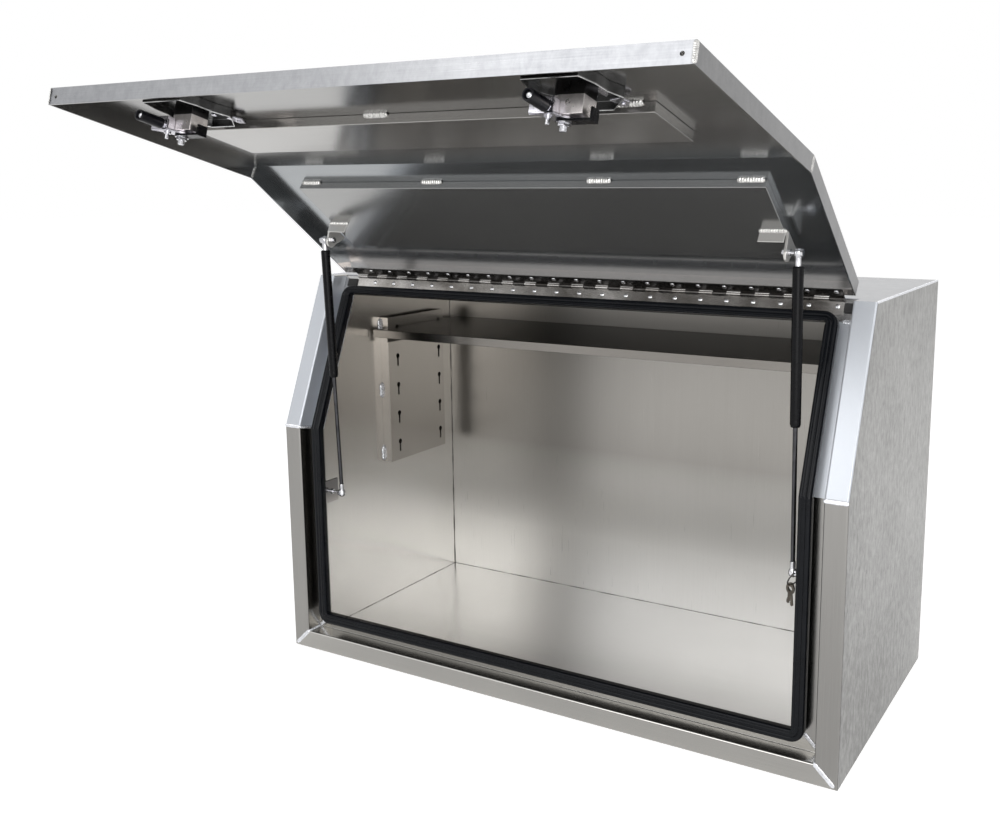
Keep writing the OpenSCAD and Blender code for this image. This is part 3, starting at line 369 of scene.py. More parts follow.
class Finish(Enum):
    """The toolbox's finishes. Each one's material is made once, when it is first used."""

    SIDE_PANEL = TwoFaced("side panel sheet", INSIDE, OUTSIDE)
    # Painted light and shade: the back wall's inner face is a very pale copy of the sheet, darkened above
    # 0.14 m to 0.4 of it above 0.36 m, towards the top of the box.
    BACK_PANEL = TwoFaced(
        "back panel sheet",
        Sheet(
            "back inside", (0.86, 0.845, 0.81), (0.70, 0.685, 0.65), roughness=(0.27, 0.35), marks=0.2,
            metallic=0.85, fade=Fade((0.0, 0.0, 1.0), 0.14, 0.36, (0.40, 0.39, 0.38)),
        ),
        OUTSIDE,
    )
    FLOOR_PANEL = TwoFaced(
        "floor panel sheet",
        Sheet(
            "floor inside", (0.61, 0.61, 0.615), (0.48, 0.48, 0.485), Grain.ACROSS,
            roughness=(0.2, 0.26), marks=0.2,
        ),
        OUTSIDE,
    )
    TOP_PANEL = TwoFaced(
        "top panel sheet", INSIDE,
        Sheet(
            "top outside", (0.44, 0.44, 0.45), (0.24, 0.25, 0.275), Grain.ACROSS, mottling=0.6,
            mottle_scale=40.0, edge=0.8,
        ),
    )
    # Painted light and shade: the upright and the leaning front strips are one sheet, given a dark copy
    # below the knee and a paler, bluish copy above it for the light and sky that the leaning strips catch.
    STRIP = Sheet("front strip sheet", (0.29, 0.283, 0.27), (0.21, 0.205, 0.197), marks=0.35)
    SLANT_STRIP = Sheet(
        "leaning strip sheet", (0.56, 0.585, 0.625), (0.45, 0.47, 0.505), roughness=(0.3, 0.38),
        clouds=0.5, marks=0.15, metallic=0.55,
    )
    SILL = TwoFaced(
        "sill sheet",
        Sheet("sill inside", (0.62, 0.61, 0.585), (0.48, 0.47, 0.45), Grain.ACROSS),
        Sheet("sill outside", (0.37, 0.36, 0.34), (0.27, 0.265, 0.255), Grain.ACROSS),
    )
    HEADER = Sheet("header sheet", (0.50, 0.50, 0.50), (0.38, 0.38, 0.38), Grain.ACROSS)
    # Painted shade: the door's inner face is a dark copy of the sheet, lit back up by painted light to
    # 1.25 to 1.4 times beyond -0.40 m along Y and 1.6 to 1.9 times below 0.827 m high.
    DOOR = TwoFaced(
        "door sheet",
        Sheet(
            "door inside", (0.29, 0.286, 0.278), (0.20, 0.197, 0.19), Grain.ACROSS,
            roughness=(0.15, 0.2), marks=0.15, bump_mm=0.0003, metallic=0.92,
            fade=Fade(
                (0.0, 1.0, 0.0), -0.45, -0.40, (1.25, 1.32, 1.4),
                beside=Fade((0.0, 0.0, -1.0), -0.8276, -0.8270, (1.9, 1.72, 1.6)),
            ),
        ),
        # Painted shade: the door's outer face is darkened to about 0.6 beyond 0.5545 m to the right, on
        # the door's right end only.
        Sheet(
            "door outside", (0.44, 0.445, 0.46), (0.27, 0.275, 0.29), Grain.ACROSS,
            roughness=(0.26, 0.36), mottling=0.4, mottle_scale=80.0,
            fade=Fade((1.0, 0.0, 0.0), 0.549, 0.5545, (0.62, 0.61, 0.59)),
        ),
        centre=(0.0, -0.6, 0.55),
    )
    TRAY = Sheet(
        "stiffener sheet", (0.36, 0.36, 0.355), (0.26, 0.26, 0.256), Grain.ACROSS, marks=0.15,
        metallic=0.84,
    )
    LOW_TRAY = Sheet(
        "lower stiffener sheet", (0.37, 0.36, 0.345), (0.26, 0.252, 0.24), Grain.ACROSS, marks=0.15,
        metallic=0.82,
    )
    BRACKET = Sheet("bracket sheet", (0.37, 0.352, 0.33), (0.28, 0.265, 0.245), marks=0.15)
    STRUT_BRACKET = Sheet(
        "strut bracket sheet", (0.62, 0.61, 0.59), (0.46, 0.45, 0.43), marks=0.15, metallic=0.6
    )
    # Painted shade: the lower strut brackets are a dark copy of the bracket sheet, lit back up by painted
    # light to twice that below 0.318 m high.
    LOWER_STRUT_BRACKET = Sheet(
        "lower strut bracket sheet", (0.24, 0.235, 0.235), (0.15, 0.147, 0.147), marks=0.15,
        fade=Fade((0.0, 0.0, -1.0), -0.345, -0.318, (2.0, 1.96, 1.9)),
    )
    # Painted shade: the shelf's upward faces get a near-black copy of the sheet, the shade under the top,
    # and its other faces a paler one.
    SHELF = TwoFaced(
        "shelf sheet",
        Sheet(
            "shelf top", (0.05, 0.047, 0.042), (0.028, 0.026, 0.022), Grain.ACROSS, marks=0.15, edge=0.5
        ),
        Sheet("shelf lip", (0.23, 0.217, 0.2), (0.165, 0.155, 0.142), Grain.ACROSS, marks=0.15),
        centre=(0.0, 0.5, 5.0),
    )
    WELD = Plain(
        "weld metal", (0.84, 0.85, 0.88), (0.56, 0.57, 0.6), metallic=0.75, roughness=(0.2, 0.32),
        patch_scale=180,
    )
    # Painted shade: the door's welds are a darker copy of the weld metal, for the shaded inner face of the
    # door.
    DOOR_WELD = Plain(
        "door weld metal", (0.66, 0.65, 0.63), (0.36, 0.355, 0.345), metallic=0.9, roughness=(0.2, 0.32),
        patch_scale=180,
    )
    SEAM = Plain(
        "seam shadow", (0.10, 0.095, 0.09), (0.24, 0.23, 0.22), roughness=(0.4, 0.6), patch_scale=40
    )
    SEAL = Plain(
        "seal rubber", (0.002, 0.0025, 0.004), (0.005, 0.006, 0.008), metallic=0.0,
        roughness=(0.16, 0.24), patch_scale=25, bump=0.0, gloss=0.14,
    )
    FOAM = Plain(
        "foam", (0.008, 0.008, 0.009), (0.02, 0.02, 0.02), metallic=0.0, roughness=(0.8, 0.95), gloss=0.2
    )
    HINGE = Plain(
        "hinge steel", (0.20, 0.185, 0.17), (0.72, 0.70, 0.68), roughness=(0.14, 0.26), patch_scale=9,
        bump_mm=0.01,
    )
    RIVET = Plain("rivet metal", (0.84, 0.84, 0.86), (0.66, 0.66, 0.68), roughness=(0.12, 0.2))
    BRIGHT_ZINC = Plain("bright zinc", (0.66, 0.66, 0.68), (0.42, 0.42, 0.44), roughness=(0.1, 0.2))
    PALE_ZINC = Plain("pale zinc", (0.62, 0.61, 0.66), (0.46, 0.45, 0.49), roughness=(0.2, 0.3))
    # Painted shade: the lock housing is near black next to the dish and thirteen times lighter past a
    # plane across the lock's axis.
    CAST_ZINC = Plain(
        "cast zinc", (0.075, 0.073, 0.073), (0.05, 0.048, 0.048), roughness=(0.26, 0.36),
        fade=Fade(INTO_LOCK, -0.8680, -0.8674, (13.0, 12.7, 12.5)),
    )
    # Painted shade: the dish is dark in its cavity, and 5.4 times lighter past a plane across the lock's
    # axis.
    DISH = Plain(
        "dish steel", (0.13, 0.13, 0.13), (0.06, 0.06, 0.06), roughness=(0.16, 0.26),
        fade=Fade(INTO_LOCK, -0.8792, -0.8784, (5.4, 5.4, 5.4)),
    )
    POLISHED = Plain(
        "polished steel", (0.56, 0.56, 0.57), (0.46, 0.46, 0.47), roughness=(0.14, 0.22), patch_scale=160
    )
    DARK_STEEL = Plain(
        "dark steel", (0.16, 0.155, 0.15), (0.06, 0.055, 0.05), roughness=(0.18, 0.32), patch_scale=20
    )
    ROD = Plain("dark chrome", (0.07, 0.07, 0.075), (0.04, 0.04, 0.042), roughness=(0.1, 0.18))
    KEY = Plain("key metal", (0.17, 0.15, 0.125), (0.09, 0.08, 0.068), roughness=(0.25, 0.4))
    BLACK_PAINT = Plain(
        "black paint", (0.002, 0.002, 0.0025), (0.004, 0.004, 0.005), metallic=0.0,
        roughness=(0.22, 0.32), gloss=0.12,
    )
    ROLLER = Plain(
        "roller rubber", (0.003, 0.003, 0.005), (0.007, 0.007, 0.009), metallic=0.0,
        roughness=(0.26, 0.38), gloss=0.2,
    )

    def dress(self, piece: bpy.types.Object) -> None:
        """Makes this finish the piece's only material."""
        material = bpy.data.materials.get(self.value.name) or self.value.material()
        piece.data.materials.clear()
        piece.data.materials.append(material)


@dataclass(frozen=True)
class BodySizes:
    """The body's sizes in millimetres, in the frame whose Y starts at the front.

    A depth is measured behind the front strips, square to them, and v is the distance
    down the leaning front from its top edge.
    """

    half_w: float = 600.0
    half_d: float = 300.0
    depth: float = 600.0
    height: float = 800.0
    knee: float = 492.0
    setback: float = 126.0
    sheet: float = 2.5
    mouth_half_w: float = 560.0
    sill_h: float = 38.0
    recess: float = 38.0
    lip_x: float = 526.5
    lip_z: float = 71.5
    lip_front: float = 12.0
    lip_relief: float = 20.0
    head_drop: float = 26.25
    seal_corner: float = 14.0

    @property
    def lean(self) -> float:
        """The angle by which the upper front leans back."""
        return math.atan(self.setback / (self.height - self.knee))

    def knee_z(self, depth: np.ndarray) -> np.ndarray:
        """The height of the knee's plane at a depth."""
        return self.knee - depth * math.tan(self.lean / 2)

    def on_slope(self, down: np.ndarray, depth: np.ndarray) -> tuple[np.ndarray, np.ndarray]:
        """Y and Z of the points at a distance down the slope and a depth behind it."""
        sin, cos = math.sin(self.lean), math.cos(self.lean)
        return self.setback - down * sin + depth * cos, self.height - down * cos - depth * sin

    def slope_y(self, z: np.ndarray, depth: np.ndarray) -> np.ndarray:
        """Y of the points at a height and a depth behind the slope."""
        return self.setback + depth / math.cos(self.lean) + (z - self.height) * math.tan(self.lean)

    def placed(self, points: np.ndarray) -> np.ndarray:
        """Points of the front's frame in the model's own frame."""
        return points - np.array([0.0, self.half_d, 0.0])


@dataclass(frozen=True)
class DoorSizes:
    """The door's sizes in millimetres with the door shut, and how it is held open."""

    half_w: float = 555.0
    bottom: float = 44.0
    skin: float = 3.5
    skin_wall: float = 2.5
    skin_inner: float = 6.0
    return_end: float = 31.0
    pin_y: float = 162.3488
    pin_z: float = 798.5275
    angle: float = 105.0
    lock_x: float = 345.0
    lock_z: float = 135.0

    def opened(self, points: np.ndarray) -> np.ndarray:
        """Points of the shut door, turned about the hinge to where it stands in the model."""
        turn = -math.radians(self.angle)
        y, z = points[:, Y] - self.pin_y, points[:, Z] - self.pin_z
        turned = np.column_stack([
            points[:, X],
            self.pin_y + y * math.cos(turn) - z * math.sin(turn),
            self.pin_z + y * math.sin(turn) + z * math.cos(turn),
        ])
        return BODY.placed(turned)

    def at_lock(self, side: "Side", points: np.ndarray) -> np.ndarray:
        """Points about a lock's spindle, as X, depth and height, where the lock stands."""
        return self.opened(points + np.array([side.value * self.lock_x, 0.0, self.lock_z]))


BODY = BodySizes()
DOOR = DoorSizes()


def slope_carried(points: np.ndarray) -> np.ndarray:
    """Points given as X, depth behind the slope and distance up it, in the front's frame."""
    y, z = BODY.on_slope(-points[:, Z], points[:, Y])
    return np.column_stack([points[:, X], y, z])


@dataclass
class Shape:
    """Points in millimetres and the faces between them, before they become a piece."""

    points: np.ndarray
    faces: list[tuple[int, ...]]

    @classmethod
    def joined(cls, shapes: Sequence["Shape"]) -> "Shape":
        """Several shapes as one."""
        starts = np.cumsum([0] + [len(shape.points) for shape in shapes])
        faces = [
            tuple(index + int(start) for index in face)
            for shape, start in zip(shapes, starts)
            for face in shape.faces
        ]
        return cls(np.vstack([shape.points for shape in shapes]), faces)

    @classmethod
    def swept(cls, rows: np.ndarray, closed: bool = False) -> "Shape":
        """The skin over a row of equal rings, with end caps unless the row closes on itself.

        Args:
            rows: Places as row, place in the ring, and X, Y and Z.
            closed: Whether the last ring joins the first.

        Returns:
            The closed shape.
        """
        count, ring = rows.shape[:2]
        first = np.arange(count if closed else count - 1)[:, None] * ring
        second = (first + ring) % (count * ring)
        here, ahead = np.arange(ring)[None, :], (np.arange(ring)[None, :] + 1) % ring
        quads = np.stack([first + here, first + ahead, second + ahead, second + here], axis=-1)
        faces = [tuple(face) for face in quads.reshape(-1, 4).tolist()]
        if not closed:
            faces.append(tuple(range(ring - 1, -1, -1)))
            faces.append(tuple(range((count - 1) * ring, count * ring)))
        return cls(rows.reshape(-1, 3), faces)

    @classmethod
    def turned(cls, outline: Sequence[tuple[float, float]], steps: int = 32) -> "Shape":
        """A solid of revolution about Z, from pairs of radius and height between its ends."""
        radius, height = np.array(outline, dtype=float).T
        radius = np.maximum(radius, 0.01)
        around = np.linspace(0, 2 * math.pi, steps, endpoint=False)
        rows = np.stack([
            radius[:, None] * np.cos(around), radius[:, None] * np.sin(around),
            np.repeat(height[:, None], steps, axis=1),
        ], axis=-1)
        return cls.swept(rows)

    @classmethod
    def slab(cls, outline: Sequence[tuple[float, float]], low: float, high: float) -> "Shape":
        """A flat outline in X and Y, carried along Z from one height to another."""
        flat = np.array(outline, dtype=float)
        rows = [np.column_stack([flat, np.full(len(flat), z)]) for z in (low, high)]
        return cls.swept(np.stack(rows))

    def carried(self, carry: Callable[[np.ndarray], np.ndarray]) -> "Shape":
        """The shape with its points carried elsewhere."""
        return Shape(carry(self.points), self.faces)

    def axes_as(self, *order: int) -> "Shape":
        """The shape with its axes in another order."""
        return Shape(self.points[:, order], self.faces)

    def moved(self, x: float, y: float, z: float) -> "Shape":
        """The shape moved along each axis."""
        return Shape(self.points + np.array([x, y, z]), self.faces)

    def mirrored(self, side: Side) -> "Shape":
        """The shape as it is on a side, from how it is on the right."""
        return Shape(self.points * np.array([side.value, 1.0, 1.0]), self.faces)


@dataclass(frozen=True)
class Dress:
    """What a new piece rides on, what finish it has and which nodes it stands for."""

    body: str
    slot: str
    finish: "Finish"
    replaces: tuple[str, ...] = ()
    sharp: float = 38.0
    bevel: float = 0.0

    def make(self, name: str, shape: Shape) -> bpy.types.Object:
        """Makes a piece from a shape that is in the model's frame.

        Args:
            name: The piece's name.
            shape: Its points and faces.

        Returns:
            The piece, closed, with its faces outwards.
        """
        mesh = bpy.data.meshes.new(name)
        mesh.from_pydata((shape.points * MM).tolist(), [], shape.faces)
        work = bmesh.new()
        work.from_mesh(mesh)
        bmesh.ops.recalc_face_normals(work, faces=work.faces)
        work.to_mesh(mesh)
        work.free()
        mesh.polygons.foreach_set("use_smooth", np.ones(len(mesh.polygons), dtype=bool))
        mesh.set_sharp_from_angle(angle=math.radians(self.sharp))
        piece = bpy.data.objects.new(name, mesh)
        bpy.context.scene.collection.objects.link(piece)
        self.finish.dress(piece)
        if self.bevel:
            soften(piece, self.bevel)
        else:
            weigh_normals(piece)
        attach(piece, self.body)
        if self.replaces:
            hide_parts(*self.replaces)
        LOG.info("%s: %d faces, on %s", name, len(mesh.polygons), self.body)
        return piece


def weigh_normals(piece: bpy.types.Object) -> None:
    """Keeps the shading of large flat faces level beside small bends."""
    weighing = piece.modifiers.new("level shading", "WEIGHTED_NORMAL")
    weighing.keep_sharp = True
    weighing.weight = 100


def soften(piece: bpy.types.Object, radius: float) -> None:
    """Rounds a piece's hard edges with modifiers, so that they catch the light.

    The mesh first has its split points joined and its flat parts made whole.

    Args:
        piece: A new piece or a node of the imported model.
        radius: The edge radius in millimetres.
    """
    joining = piece.modifiers.new("joined points", "WELD")
    joining.merge_threshold = JOINED_WITHIN * MM
    flattening = piece.modifiers.new("whole flats", "DECIMATE")
    flattening.decimate_type = "DISSOLVE"
    flattening.angle_limit = math.radians(FLAT_WITHIN)
    rounding = piece.modifiers.new("rounded edges", "BEVEL")
    rounding.width = radius * MM
    rounding.segments = EDGE_FACES
    rounding.limit_method = "ANGLE"
    rounding.angle_limit = math.radians(HARD_EDGE)
    rounding.miter_outer = "MITER_ARC"
    weigh_normals(piece)


def folded(
    path: Sequence[tuple[float, float]], sheet: float, radius: float, steps: int = 5,
) -> np.ndarray:
    """The section of a sheet that is folded along a path.

    Each inner corner of the path becomes an arc. The section lies half a thickness to
    either side of that line, out along one side and back along the other.

    Args:
        path: The corners of the sheet's middle line.
        sheet: Its thickness.
        radius: The radius of the middle line in each bend.
        steps: Faces across each bend.

    Returns:
        The closed outline, one point in each row.
    """
    corners = np.array(path, dtype=float)
    legs = np.diff(corners, axis=0)
    angles = np.unwrap(np.arctan2(legs[:, 1], legs[:, 0]))
    line, bearing = [corners[:1]], [angles[:1]]
    for corner, start, turn in zip(corners[1:-1], angles, np.diff(angles)):
        along = start + turn * np.linspace(0, 1, steps + 1)
        side = math.copysign(radius, turn)
        reach = radius * abs(math.tan(turn / 2))
        ahead = np.array([math.cos(start), math.sin(start)])
        centre = corner - reach * ahead + side * np.array([-ahead[1], ahead[0]])
        line.append(centre - side * np.column_stack([-np.sin(along), np.cos(along)]))
        bearing.append(along)
    line.append(corners[-1:])
    bearing.append(angles[-1:])
    middle, turn = np.vstack(line), np.concatenate(bearing)
    square = np.column_stack([-np.sin(turn), np.cos(turn)]) * sheet / 2
    return np.vstack([middle + square, (middle - square)[::-1]])


def framed(
    origin: Sequence[float], along: Sequence[float], out: Sequence[float],
) -> Callable[[np.ndarray], np.ndarray]:
    """Carries points so that X runs along one direction and Z out along another.

    Args:
        origin: Where the first point goes.
        along: The direction of X.
        out: The direction of Z, square to it.

    Returns:
        The function that carries the points.
    """
    first = np.array(along, dtype=float)
    first /= np.linalg.norm(first)
    third = np.array(out, dtype=float)
    third -= first * (third @ first)
    third /= np.linalg.norm(third)
    axes = np.array([first, np.cross(third, first), third])
    return lambda points: points @ axes + np.array(origin, dtype=float)


@dataclass(frozen=True)
class Bead:
    """A weld bead of overlapping scales on a face.

    It runs from its origin along one direction and rises out along another, which is
    made square to the first. Its phase sets its scales and its wander apart from
    those of other beads, and its root reaches a little into the face.
    """

    length: float
    width: float
    rise: float
    phase: float
    origin: Place
    along: Place
    out: Place
    pitch: float = 2.6
    step: float = 0.35
    root: float = 0.4
    ring: int = 11

    def shape(self) -> Shape:
        """The closed bead where it lies.

        Each ring across the bead is half an ellipse. Its height and width follow the
        rectified cosine of the distance along it, which is pushed forward at the middle
        so that the scales are crescents. Both ends close in on a quarter circle, and
        two slow waves make the width wander.

        Returns:
            The shape, with its rings and its flat root as one skin.
        """
        length, width, phase = self.length, self.width, self.phase
        along = np.linspace(0, length, max(int(length / self.step), 12))[:, None]
        angle = np.linspace(0, math.pi, self.ring)[None, :]
        from_end = np.clip(np.minimum(along, length - along) / (width * 0.6), 0, 1)
        ends = np.sqrt(np.clip(1 - (1 - from_end) ** 2, 0.0009, 1))
        forward = along + 0.35 * width * np.sin(angle) + phase * 3.1
        scale = 0.62 + 0.38 * np.abs(np.cos(math.pi * forward / self.pitch))
        wander = 1 + 0.05 * np.sin(along * 0.31 + phase) + 0.04 * np.sin(along * 0.83 + 2.3 * phase)
        edge = 0.93 + 0.07 * np.abs(np.cos(math.pi * (along + phase * 3.1) / self.pitch))
        across = -width / 2 * np.cos(angle) * ends * wander * edge
        height = self.rise * np.sin(angle) * ends * scale
        top = np.stack(np.broadcast_arrays(along, across, height), axis=-1)
        under = top[:, [-1, 0], :].copy()
        under[:, :, Z] = -self.root
        skin = Shape.swept(np.concatenate([top, under], axis=1))
        return skin.carried(framed(self.origin, self.along, self.out))


@dataclass(frozen=True)
class MouthFrame:
    """The folded sheets round the mouth: jambs, sill and the seal on their lip.

    The seal's reach is counted outward from the lip, its front and back are depths,
    and each valley in its front is a place between -1 and 1, a width and a depth.
    """

    bend: float = 2.5
    wrap: float = 4.6
    lip_reach: float = 4.0
    lip_root: float = 2.0
    seal_reach: tuple[float, float] = (-12.0, 10.5)
    seal_front: float = 7.4
    seal_back: float = 23.5
    seal_round: float = 5.2
    seal_chamfer: float = 0.6
    valleys: tuple[Place, ...] = ((0.18, 0.1, 1.5), (-0.45, 0.08, 0.9))
    head_thinning: float = 0.42
    corner_steps: int = 10
    knee_near: float = 2.0
    knee_ease: float = 0.1

    def on_lip(self, x: np.ndarray, depth: np.ndarray) -> np.ndarray:
        """Whether the points of a jamb's section are on its lip."""
        return (x < BODY.lip_x + self.lip_reach) & (depth < BODY.recess - self.lip_root)

    def jamb_section(self) -> np.ndarray:
        """The right jamb's section in X and depth: strip, recess wall, flange and lip."""
        half = BODY.sheet / 2
        outer, wall = BODY.half_w - half, BODY.mouth_half_w + half
        flange, lip = BODY.recess + half, BODY.lip_x + half
        path = [
            (outer, self.wrap), (outer, half), (wall, half), (wall, flange), (lip, flange),
            (lip, BODY.lip_front),
        ]
        return folded(path, BODY.sheet, self.bend)

    def foot(self, x: np.ndarray, depth: np.ndarray) -> np.ndarray:
        """Where the jamb ends at the bottom: on the sill's mitres, and above them at the lip."""
        strip = (BODY.half_w - x) * BODY.sill_h / (BODY.half_w - BODY.mouth_half_w)
        inner = BODY.sill_h + BODY.mouth_half_w - x
        ends = np.where(x > BODY.mouth_half_w, strip, inner)
        return np.where(self.on_lip(x, depth), BODY.lip_z + BODY.lip_relief, ends)

    def head(self, x: np.ndarray, depth: np.ndarray) -> np.ndarray:
        """Where the jamb ends at the top, as a height."""
        under_top = np.where(depth > BODY.sheet, BODY.height - BODY.sheet, BODY.height)
        flange = BODY.on_slope(BODY.head_drop, depth)[1]
        lip = BODY.on_slope(BODY.head_drop + BODY.lip_relief, depth)[1]
        beside = np.where(x < BODY.mouth_half_w - 0.5, flange, under_top)
        return np.where(self.on_lip(x, depth), lip, beside)

    def lower_jamb(self) -> Shape:
        """The upright part of the right jamb, up to the knee."""
        x, depth = self.jamb_section().T
        foot, knee = self.foot(x, depth), BODY.knee_z(depth)
        share = np.array([0.0, 0.5, 1.0])[:, None]
        rows = np.stack(np.broadcast_arrays(x, depth, foot + (knee - foot) * share), axis=-1)
        return Shape.swept(rows)

    def upper_jamb(self) -> Shape:
        """The leaning part of the right jamb, from the knee to the top."""
        x, depth = self.jamb_section().T
        knee, head = BODY.knee_z(depth), self.head(x, depth)
        share = np.array([0.0, 0.5, 1.0])[:, None]
        low = np.column_stack([x, depth, knee])
        high = np.column_stack([x, BODY.slope_y(head, depth), head])
        return Shape.swept(low[None] + (high - low)[None] * share[:, :, None])

    def sill(self) -> Shape:
        """The sill from mitre to mitre: strip, recess floor, flange and lip."""
        half = BODY.sheet / 2
        flange, top = BODY.recess + half, BODY.sill_h - half
        path = [
            (self.wrap, half), (half, half), (half, top), (flange, top),
            (flange, BODY.lip_z - half), (BODY.lip_front, BODY.lip_z - half),
        ]
        depth, z = folded(path, BODY.sheet, self.bend).T
        strip = BODY.half_w - z * (BODY.half_w - BODY.mouth_half_w) / BODY.sill_h
        inner = BODY.mouth_half_w - (z - BODY.sill_h)
        end = np.where(z < BODY.sill_h, strip, inner)
        on_lip = (z > BODY.lip_z - self.lip_reach) & (depth < BODY.recess - self.lip_root)
        end = np.where(on_lip, BODY.lip_x - BODY.lip_relief, end)
        share = np.linspace(-1, 1, 5)[:, None]
        return Shape.swept(np.stack(np.broadcast_arrays(end * share, depth, z), axis=-1))

    def seal_section(self) -> np.ndarray:
        """The seal's section, as the distance outward from the lip and the depth.

        Its front is two low crowns with a valley between them, its edges are round, and a
        slot at the back takes the lip.
        """
        inner, outer = self.seal_reach
        middle, half = (inner + outer) / 2, (outer - inner) / 2
        across = np.linspace(-1, 1, 41)
        edge = 1 - np.sqrt(np.clip(1 - np.clip((np.abs(across) - 0.5) / 0.5, 0, 1) ** 2, 0, 1))
        sunk = sum(deep * np.exp(-((across - at) / wide) ** 2) for at, wide, deep in self.valleys)
        front = np.column_stack([
            middle + half * across, self.seal_front + self.seal_round * edge + sunk
        ])
        back, chamfer = self.seal_back, self.seal_chamfer
        slot = [
            (outer, back - chamfer), (outer - chamfer, back), (BODY.sheet, back),
            (BODY.sheet, BODY.lip_front), (0.0, BODY.lip_front), (0.0, back),
            (inner + chamfer, back), (inner, back - chamfer),
        ]
        return np.vstack([front, slot])

    def seal(self) -> Shape:
        """The seal once round the lip, with round corners and a bend at each knee."""
        out, depth = self.seal_section().T
        radius, corner_x = BODY.seal_corner, BODY.lip_x - BODY.seal_corner
        turn = np.linspace(0, math.pi / 2, self.corner_steps)[:, None]
        arm = radius + out[None, :]
        low = np.stack(np.broadcast_arrays(
            corner_x + arm * np.sin(turn), depth[None, :],
            BODY.lip_z + radius - arm * np.cos(turn),
        ), axis=-1)
        inward = 1 - self.head_thinning * turn / (math.pi / 2)
        arm = radius + np.where(out[None, :] < 0, out[None, :] * inward, out[None, :])
        y, z = BODY.on_slope(BODY.head_drop + radius - arm * np.sin(turn), depth[None, :])
        high = np.stack(np.broadcast_arrays(corner_x + arm * np.cos(turn), y, z), axis=-1)
        flat = BODY.lip_x + out
        below = np.column_stack([flat, depth, BODY.knee_z(depth) - self.knee_near])
        at_knee = np.column_stack([flat, depth, BODY.knee_z(depth)])
        at_knee[:, Y] += self.knee_ease
        down = (BODY.height - BODY.knee) / math.cos(BODY.lean) - self.knee_near
        y, z = BODY.on_slope(down - depth * math.tan(BODY.lean / 2), depth)
        above = np.column_stack([flat, y, z])
        right = np.concatenate([low, below[None], at_knee[None], above[None], high])
        left = right[::-1] * np.array([-1.0, 1.0, 1.0])
        return Shape.swept(np.concatenate([right, left]), closed=True)

    def build(self) -> None:
        """Makes the jambs, the sill and the seal."""
        for side in Side:
            for part, shape, finish in (
                ("lower", self.lower_jamb(), Finish.STRIP),
                ("upper", self.upper_jamb(), Finish.SLANT_STRIP),
            ):
                node = f"{side.word}_{part}_jamb"
                dress = Dress("body", "outer_sheet", finish, (node,))
                dress.make(f"folded_{node}", shape.mirrored(side).carried(BODY.placed))
        Dress("body", "outer_sheet", Finish.SILL, ("sill_rail",)).make(
            "folded_sill", self.sill().carried(BODY.placed)
        )
        Dress("body", "seal_rubber", Finish.SEAL, ("door_seal",), sharp=50).make(
            "rounded_seal", self.seal().carried(BODY.placed)
        )


